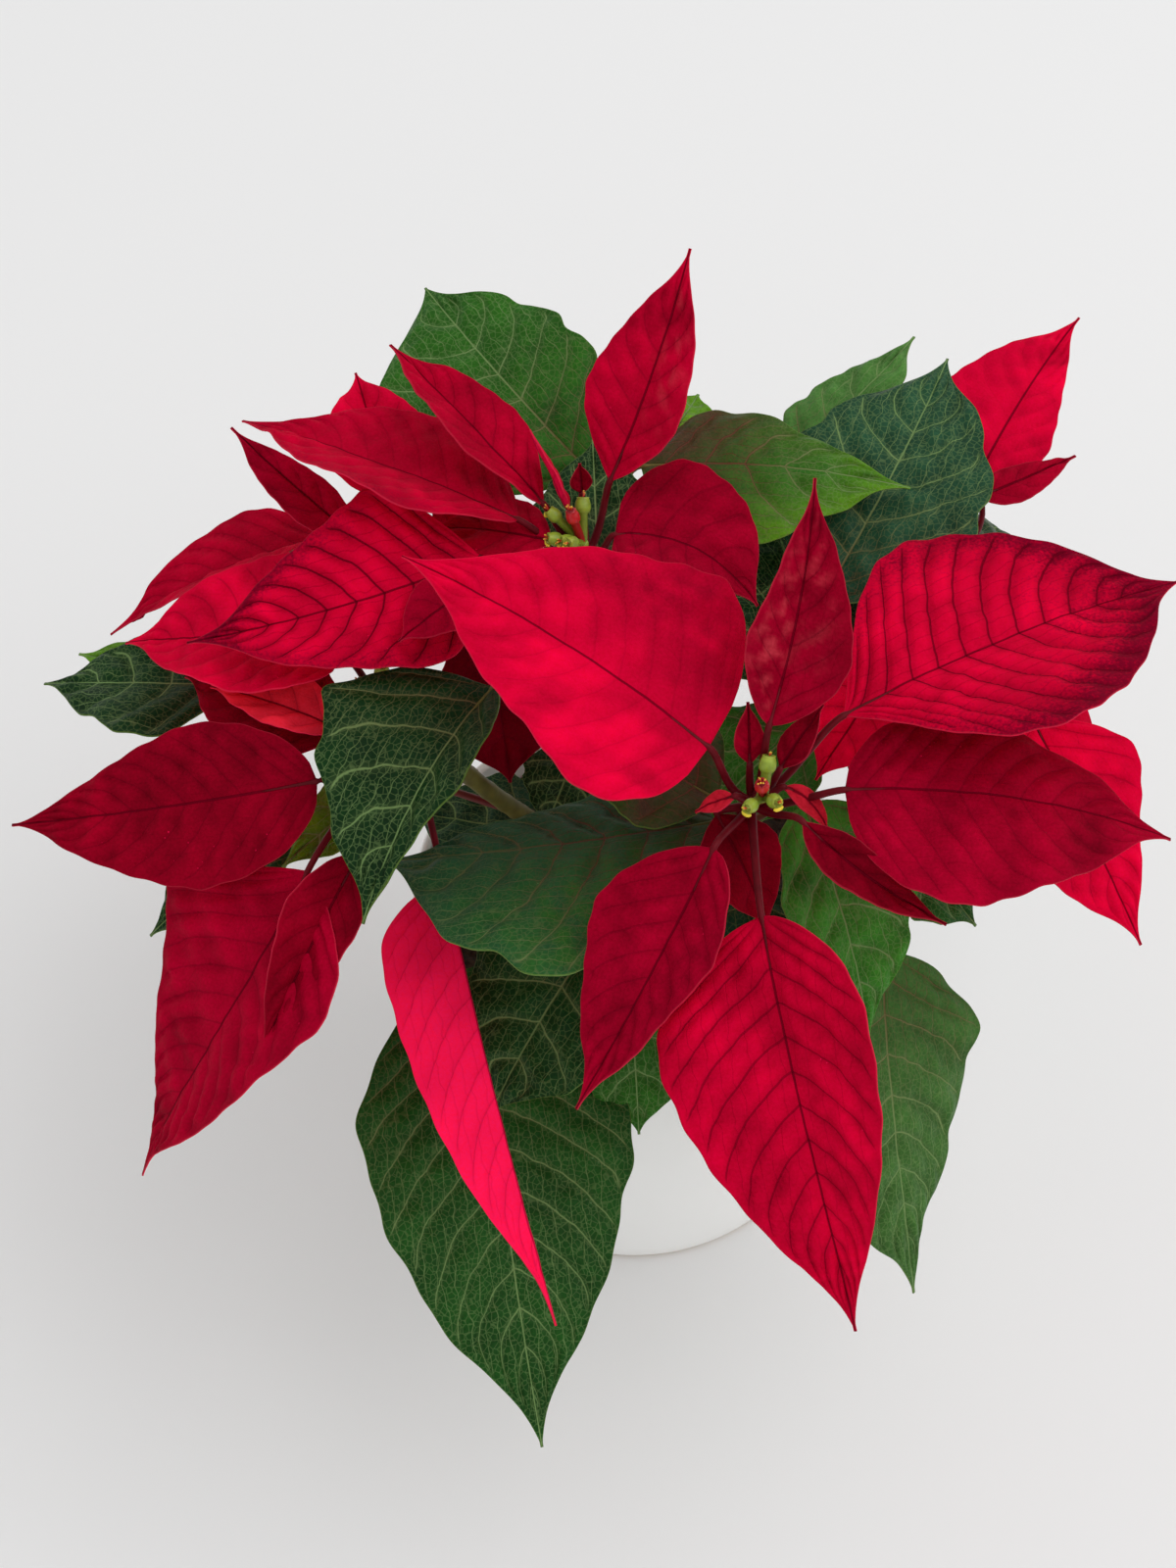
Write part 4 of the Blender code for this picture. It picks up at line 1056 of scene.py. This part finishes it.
class BractSettings(bpy.types.PropertyGroup):
    """Colours and relief of the red bracts."""

    # From bright to dark these tones are the bracts' red under more and less light: painted light
    # and painted shade besides their own colour
    bright: colour_property("Bright", "Fully lit scarlet bracts", (214, 0, 50))
    rich: colour_property("Rich", "Most bracts", (186, 0, 42))
    deep: colour_property("Deep", "Older crimson bracts", (158, 0, 36))
    dark: colour_property("Dark", "Shaded wine-red bracts", (132, 0, 26))
    pink: colour_property("Pink", "Curled small bracts", (188, 28, 46))
    # Pale mottles, which also paint highlight on the lumps of the bracts
    mottle_and_highlight: colour_property("Mottle", "Pale mottles", (188, 52, 66))
    stain: colour_property("Stain", "Dark mottles and tips", (84, 0, 26))
    vein: colour_property("Vein", "Veins of the upper side", (92, 0, 20))
    under: colour_property("Under side", "Pink backs of the bracts", (232, 18, 72))
    under_vein: colour_property("Under vein", "Raised veins of the back", (160, 8, 46))
    # Painted rim light: the glow along the bracts' thin edges
    edge: colour_property("Margin", "Thin pale line along the margin", (224, 70, 88))
    velvet: colour_property("Velvet", "Soft shine of the fine hairs", (255, 20, 60))
    stalk: colour_property("Stalk", "Stalks near the stem", (96, 6, 20))
    stalk_end: colour_property("Stalk end", "Stalks near the bract", (96, 6, 20))
    quilting: number_property("Quilting", "Height of the cushions between side veins", 0.0014)


class LeafSettings(bpy.types.PropertyGroup):
    """Colours and relief of the green leaves and their stems."""

    # These tones differ partly in the leaves' own green and partly in the light on them: painted
    # shade and painted light
    dark: colour_property("Dark", "Shaded leaves", (16, 54, 18))
    middle: colour_property("Middle", "Most lit leaves", (28, 76, 22))
    fresh: colour_property("Fresh", "Lighter leaves", (42, 98, 22))
    light: colour_property("Light", "Leaf at the back", (70, 118, 50))
    # Painted light: the glow of light coming through thin leaves, on a yellow-green
    backlit_green: colour_property("Young", "Bright leaves that the light comes through", (92, 142, 18))
    bluish: colour_property("Bluish", "Dark blue-green leaf", (32, 70, 46))
    flush: colour_property("Flush", "Brown-purple flush", (70, 46, 32))
    vein: colour_property("Vein", "Pale veins", (122, 152, 92))
    under: colour_property("Under side", "Paler backs of the leaves", (84, 122, 72))
    under_vein: colour_property("Under vein", "Raised veins of the back", (122, 152, 92))
    edge: colour_property("Margin", "Thin yellow-green line along the margin", (112, 140, 56))
    stalk: colour_property("Stalk", "Stalks near the stem", (100, 22, 30))
    stalk_end: colour_property("Stalk end", "Stalks near the leaf", (92, 88, 34))
    stem: colour_property("Stem", "Green part of the stems", (92, 88, 34))
    bark: colour_property("Bark", "Brown foot of the stems", (112, 92, 62))
    quilting: number_property("Quilting", "Height of the cushions between side veins", 0.0013)


class CupSettings(bpy.types.PropertyGroup):
    """Colours of the small flowers in the middle of each head."""

    cup: colour_property("Cup", "Green cups", (134, 158, 48))
    rim: colour_property("Rim", "Rims of the cups", (176, 178, 60))
    gland: colour_property("Gland", "Yellow nectar glands", (232, 206, 52))
    bud: colour_property("Bud", "Tips of the closed cups", (150, 20, 34))
    stamen: colour_property("Stamen", "Red stamens", (196, 30, 36))


class StageSettings(bpy.types.PropertyGroup):
    """Floor and light."""

    floor: colour_property("Floor", "Plain pale floor", (241, 241, 241))
    sky: colour_property("Sky", "Even light from all round", (243, 243, 243))
    sky_strength: number_property("Sky strength", "Strength of the even light", 0.83, "NONE")
    lamp_power: number_property("Lamp power", "Power of the large soft lamp", 32.0, "POWER")
    lamp_size: number_property("Lamp size", "Side of the large soft lamp", 3.0)


class PlantOperator:
    """What every operator here shares."""

    bl_options = {"REGISTER", "UNDO"}


class MakeStage(PlantOperator, bpy.types.Operator):
    """Lay the pale floor, set the soft light and put the camera where the photograph was taken"""

    bl_idname = "poinsettia.make_stage"
    bl_label = "Stage"

    def execute(self, context):
        settings = context.scene.poinsettia_stage
        context.scene.view_settings.view_transform = "Standard"
        world = bpy.data.worlds.new("soft_sky")
        world.use_nodes = True
        sky = world.node_tree.nodes["Background"]
        sky.inputs["Color"].default_value = (*settings.sky, 1.0)
        sky.inputs["Strength"].default_value = settings.sky_strength
        context.scene.world = world
        self.lay_floor(settings)
        self.hang_lamp(settings)
        context.scene.camera = self.stand_camera()
        return {"FINISHED"}

    def stand(self, name, data, place, turn):
        """Stand a lamp or camera at a place in mm, turned by three angles in radians."""
        holder = bpy.data.objects.new(name, data)
        holder.location = np.array(place) * MM
        holder.rotation_euler = turn
        bpy.context.scene.collection.objects.link(holder)
        return holder

    def lay_floor(self, settings):
        """Lay a flat square grid, far wider than the view and just under the pot."""
        reach = np.linspace(-FLOOR_REACH, FLOOR_REACH, 13)
        x, y = np.meshgrid(reach, reach, indexing="ij")
        ground = Surface()
        ground.add(np.stack([x, y, 0 * x - FLOOR_DROP], -1),
                   grid_quads(np.arange(x.size).reshape(x.shape)))
        ground.make("floor", [floor_material(settings)])

    def hang_lamp(self, settings):
        """Hang one large lamp high on the right, which faces the foot of the pot."""
        lamp = bpy.data.lights.new("soft_lamp", "AREA")
        lamp.energy = settings.lamp_power
        lamp.size = settings.lamp_size
        x, y, z = LAMP_PLACE
        turn = (0, np.arctan2(np.hypot(x, y), z), np.arctan2(y, x))
        self.stand("soft_lamp", lamp, LAMP_PLACE, turn)

    def stand_camera(self):
        """Stand the camera in front of the plant and above it, looking down."""
        camera = bpy.data.cameras.new("camera")
        camera.lens = LENS
        camera.sensor_width = LONG_SIDE
        camera.clip_end = CAMERA_REACH
        return self.stand("camera", camera, CAMERA_PLACE, (np.radians(90 - CAMERA_DROP), 0, 0))


class MakePot(PlantOperator, bpy.types.Operator):
    """Turn the glazed pot: a slightly flared wall, a rounded rim and a flat foot"""

    bl_idname = "poinsettia.make_pot"
    bl_label = "Pot"

    def execute(self, context):
        settings = context.scene.poinsettia_pot
        height, foot, rim = (v / MM for v in (settings.height, settings.foot_radius,
                                              settings.rim_radius))
        # Profile: arcs of the foot and the rim, with straight walls between them
        low = np.radians(np.linspace(-90, 0, 7))
        high = np.radians(np.linspace(0, 180, 13))
        lip = POT_WALL / 2
        foot_arc = np.stack([foot - POT_ROUNDING + POT_ROUNDING * np.cos(low),
                             POT_ROUNDING + POT_ROUNDING * np.sin(low)], 1)
        rim_arc = np.stack([rim - lip + lip * np.cos(high), height - lip + lip * np.sin(high)], 1)
        share = np.linspace(0, 1, POT_WALL_RINGS + 2)[1:-1, None]
        wall = foot_arc[-1] * (1 - share) + rim_arc[0] * share
        inside = foot - POT_WALL
        profile = np.vstack([[0, 0], foot_arc, wall, rim_arc, [inside, POT_FLOOR], [0, POT_FLOOR]])
        pot = Surface()
        pot.add(*lathe(profile, POT_SIDES))
        piece = pot.make("glazed_pot", [glaze_material(settings)])
        finish_piece(piece, "pot")
        return {"FINISHED"}


class MakeSoil(PlantOperator, bpy.types.Operator):
    """Fill the pot with crumbly moist peat"""

    bl_idname = "poinsettia.make_soil"
    bl_label = "Soil"

    def execute(self, context):
        settings = context.scene.poinsettia_pot
        bottom = POT_FLOOR + GAP
        low = settings.foot_radius / MM - POT_WALL - 3 * GAP
        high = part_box("soil")[1].x / MM
        # Profile: bottom, wall and a top of many rings, whose height then follows two fields
        rings = np.linspace(high, 1.5, SOIL_RINGS)
        profile = np.vstack([[0, bottom], [low, bottom], [high, SOIL_TOP - SOIL_SHOULDER],
                             np.stack([rings, 0 * rings + SOIL_TOP], 1), [0, SOIL_TOP]])
        points, quads, triangles = lathe(profile, SOIL_SIDES)
        top = points[:, 2] > SOIL_TOP - SOIL_SHOULDER / 2
        rise = sum(height * ripple(points[top], size, seed) for height, size, seed in SOIL_FIELDS)
        points[top, 2] += np.minimum(rise - SOIL_LOWERING, 0.0)
        soil = Surface()
        soil.add(points, quads, triangles)
        self.strew_crumbs(soil, high - 3)
        piece = soil.make("peat", [soil_material(settings)], smooth_shaded=False)
        finish_piece(piece, "soil")
        return {"FINISHED"}

    def strew_crumbs(self, soil, reach):
        """Strew small uneven balls, evenly over the disc by the square root of a draw."""
        draw = np.random.default_rng(CRUMB_SEED)
        radius = reach * np.sqrt(draw.uniform(0, 1, CRUMB_COUNT))
        angle = draw.uniform(0, 2 * np.pi, CRUMB_COUNT)
        size = draw.uniform(*CRUMB_SIZES, CRUMB_COUNT) ** 1.2
        ball, faces, caps = lathe(CRUMB_PROFILE, CRUMB_SIDES)
        for r, a, wide in zip(radius, angle, size):
            height = SOIL_TOP - CRUMB_SINK + 0.3 * wide
            centre = np.array([r * np.cos(a), r * np.sin(a), height])
            stretch = wide * draw.uniform(*CRUMB_STRETCH, 3)
            uneven = 1 + 0.2 * draw.normal(size=(len(ball), 1))
            soil.add(ball * stretch * uneven + centre, faces, caps)


class MakeBranches(PlantOperator, bpy.types.Operator):
    """Grow the five stems with their green leaves"""

    bl_idname = "poinsettia.make_branches"
    bl_label = "Stems and leaves"

    def execute(self, context):
        settings = context.scene.poinsettia_leaves
        skins = [blade_material("leaf_upper", settings.edge, settings.flush),
                 blade_material("leaf_under", settings.edge, settings.flush),
                 stalk_material("stem_skin", roughness=0.5, grain=260.0, gloss=0.25)]
        for head, stem in STEMS.items():
            branch = Surface()
            knots = [row["below"] for _, row in gather(head, "leaf")]
            self.add_stem(branch, stem, settings, knots, head)
            add_blades(branch, head, "leaf", settings)
            finish_piece(branch.make(f"leafy_branch_{head}", skins), f"branch_{head}")
        return {"FINISHED"}

    def add_stem(self, surface, stem, settings, knots, seed):
        """Run a stem up from its hole, with a slight ring where each stalk leaves it."""
        length = stem.runs()[-1]
        run = np.linspace(length - 2, CORE_LENGTH, STEM_POINTS)
        path = np.vstack([stem.root - [0, 0, HOLE_DEPTH - GAP], stem.root + [0, 0, 0.5],
                          stem.below_tip(run)])
        height = np.r_[run[0] + HOLE_DEPTH, run[0] + 3, run]
        scars = np.arange(FIRST_SCAR, length, SCAR_SPACING)
        rings = sum(bell(height - at, KNOT_WIDTH) for at in np.r_[knots, scars])
        radius = STEM_RADIUS * (0.90 + 0.10 * height / height.max() + 0.07 * np.clip(rings, 0, 1))
        points, quads, triangles = tube(path, radius, STEM_SIDES)
        share = smooth(points[:, 2], *BARK_HEIGHTS)
        surface.add(points, quads, triangles, slot=2,
                    tint=paint(points, settings.bark, settings.stem, share, seed, spread=0.2))


class MakeBracts(PlantOperator, bpy.types.Operator):
    """Open the red bracts of the five heads"""

    bl_idname = "poinsettia.make_bracts"
    bl_label = "Red bracts"

    def execute(self, context):
        settings = context.scene.poinsettia_bracts
        skins = [blade_material("bract_upper", settings.edge, settings.stain, settings.velvet),
                 blade_material("bract_under", settings.edge, settings.stain, settings.velvet),
                 stalk_material("bract_stalk", roughness=0.45, grain=300.0, gloss=0.12)]
        for head, stem in STEMS.items():
            bloom = Surface()
            path = stem.below_tip(np.linspace(CORE_LENGTH - GAP, 0, CORE_RINGS))
            radius = np.linspace(CORE_RADIUS, CORE_TOP_RADIUS, CORE_RINGS)
            points, quads, triangles = tube(path, radius, CORE_SIDES)
            bloom.add(points, quads, triangles, slot=2,
                      tint=paint(points, settings.stalk, settings.stalk, 0, head))
            add_blades(bloom, head, "bract", settings)
            finish_piece(bloom.make(f"red_bracts_{head}", skins), f"bracts_{head}")
        return {"FINISHED"}


class MakeCups(PlantOperator, bpy.types.Operator):
    """Set the small green cups with their yellow glands in the middle of each head"""

    bl_idname = "poinsettia.make_cups"
    bl_label = "Small flowers"

    def execute(self, context):
        settings = context.scene.poinsettia_cups
        skin = stalk_material("cup_skin", roughness=0.35, grain=500.0, gloss=0.4)
        for head in STEMS:
            cluster = Surface()
            self.add_cluster(cluster, head, settings)
            finish_piece(cluster.make(f"small_flowers_{head}", [skin]), f"cyathia_{head}")
        return {"FINISHED"}

    def add_cluster(self, surface, head, settings):
        """Fan stalked cups from a small base; each has a flared rim and some stamens, and each open
        one a gland.
        """
        stem = STEMS[head]
        up = unit(stem.tip - stem.below_tip(8))
        seat = stem.tip + up * GAP
        draw = np.random.default_rng(head)
        self.add_tube(surface, [seat + up * height for height in SEAT_HEIGHTS], SEAT_RADII,
                      settings.cup, settings.cup, head)
        for rank, (heading, rise, reach) in enumerate(CUPS[head]):
            scale = 1.0 if rank else FIRST_CUP_SCALE
            start = seat + up * (SEAT_HEIGHTS[1] + 0.05 * rank)
            middle = seat + direction(heading, rise) * reach
            toward = unit(middle - start)
            half = toward * CUP_LENGTH * scale / 2
            path = middle + CUP_PLACES[:, None] * half
            path[0] = start
            red = (head, rank) in RED_CUPS
            low, high = (settings.stamen, settings.bud) if red else (settings.cup, settings.rim)
            self.add_tube(surface, path, CUP_WIDTHS * CUP_RADIUS * scale, low, high,
                          10 * head + rank)
            if not red:
                side = unit(np.cross(toward, direction(heading + 90, 0)))
                side = side if side[2] < 0 else -side
                place = middle + GLAND_PLACE * half + side * CUP_RADIUS * 0.95
                self.add_gland(surface, place, np.cross(toward, side), toward, settings.gland, rank)
            self.add_stamens(surface, middle + STAMEN_PLACE * half, toward, red, draw, settings)

    def add_stamens(self, surface, foot, toward, red, draw, settings):
        """Let stamens lean out of a cup: many and wide apart from a crimson one, else a few."""
        for number in range(7 if red else 3):
            lean = unit(toward + (0.7 if red else 0.35) * draw.normal(size=3))
            end = foot + lean * draw.uniform(*STAMEN_LENGTHS)
            self.add_tube(surface, [foot, (foot + end) / 2, end, end + lean * 0.35], STAMEN_RADII,
                          settings.stamen, settings.gland, number)

    def add_tube(self, surface, path, radius, low, high, seed):
        """Run a closed tube whose colour turns from low to high near its far end."""
        points, quads, triangles = tube(path, radius, CUP_SIDES)
        share = np.r_[np.repeat(np.linspace(0, 1, len(path)) ** 4, CUP_SIDES), 0, 1]
        surface.add(points, quads, triangles,
                    tint=paint(points, low, high, share, seed, spread=0.15, size=3))

    def add_gland(self, surface, centre, across, toward, colour, seed):
        """Add a two-lipped pouch: a ball, squeezed to an oval and hollowed at its front."""
        ball, faces, caps = lathe(GLAND_PROFILE, CUP_SIDES)
        axes = np.stack([across, toward, np.cross(toward, across)])
        points = centre + ball * GLAND_SIZE @ axes
        surface.add(points, faces, caps, tint=paint(points, colour, colour, 0, seed))


class PlantPanel(bpy.types.Panel):
    """List the settings and the pieces in the sidebar."""

    bl_idname = "VIEW3D_PT_poinsettia"
    bl_label = "Poinsettia"
    bl_space_type = "VIEW_3D"
    bl_region_type = "UI"
    bl_category = "Poinsettia"

    def draw(self, context):
        for operator in OPERATORS:
            self.layout.operator(operator.bl_idname)
        for name, group in SETTINGS.items():
            box = self.layout.box()
            for key in group.__annotations__:
                box.prop(getattr(context.scene, name), key)


SETTINGS = {
    "poinsettia_pot": PotSettings,
    "poinsettia_bracts": BractSettings,
    "poinsettia_leaves": LeafSettings,
    "poinsettia_cups": CupSettings,
    "poinsettia_stage": StageSettings,
}
OPERATORS = (MakeStage, MakePot, MakeSoil, MakeBranches, MakeBracts, MakeCups)


def register():
    """Make the settings, operators and panel known to Blender, and list the blades."""
    for name, group in SETTINGS.items():
        bpy.utils.register_class(group)
        setattr(bpy.types.Scene, name, bpy.props.PointerProperty(type=group))
    for operator in OPERATORS:
        bpy.utils.register_class(operator)
    bpy.utils.register_class(PlantPanel)
    list_blades()


def unregister():
    """Take them away again."""
    BLADES.clear()
    bpy.utils.unregister_class(PlantPanel)
    for operator in reversed(OPERATORS):
        bpy.utils.unregister_class(operator)
    for name, group in SETTINGS.items():
        delattr(bpy.types.Scene, name)
        bpy.utils.unregister_class(group)


def main():
    """Make every piece in order."""
    register()
    bpy.ops.poinsettia.make_stage()
    bpy.ops.poinsettia.make_pot()
    bpy.ops.poinsettia.make_soil()
    bpy.ops.poinsettia.make_branches()
    bpy.ops.poinsettia.make_bracts()
    bpy.ops.poinsettia.make_cups()


if __name__ == "__main__":
    main()
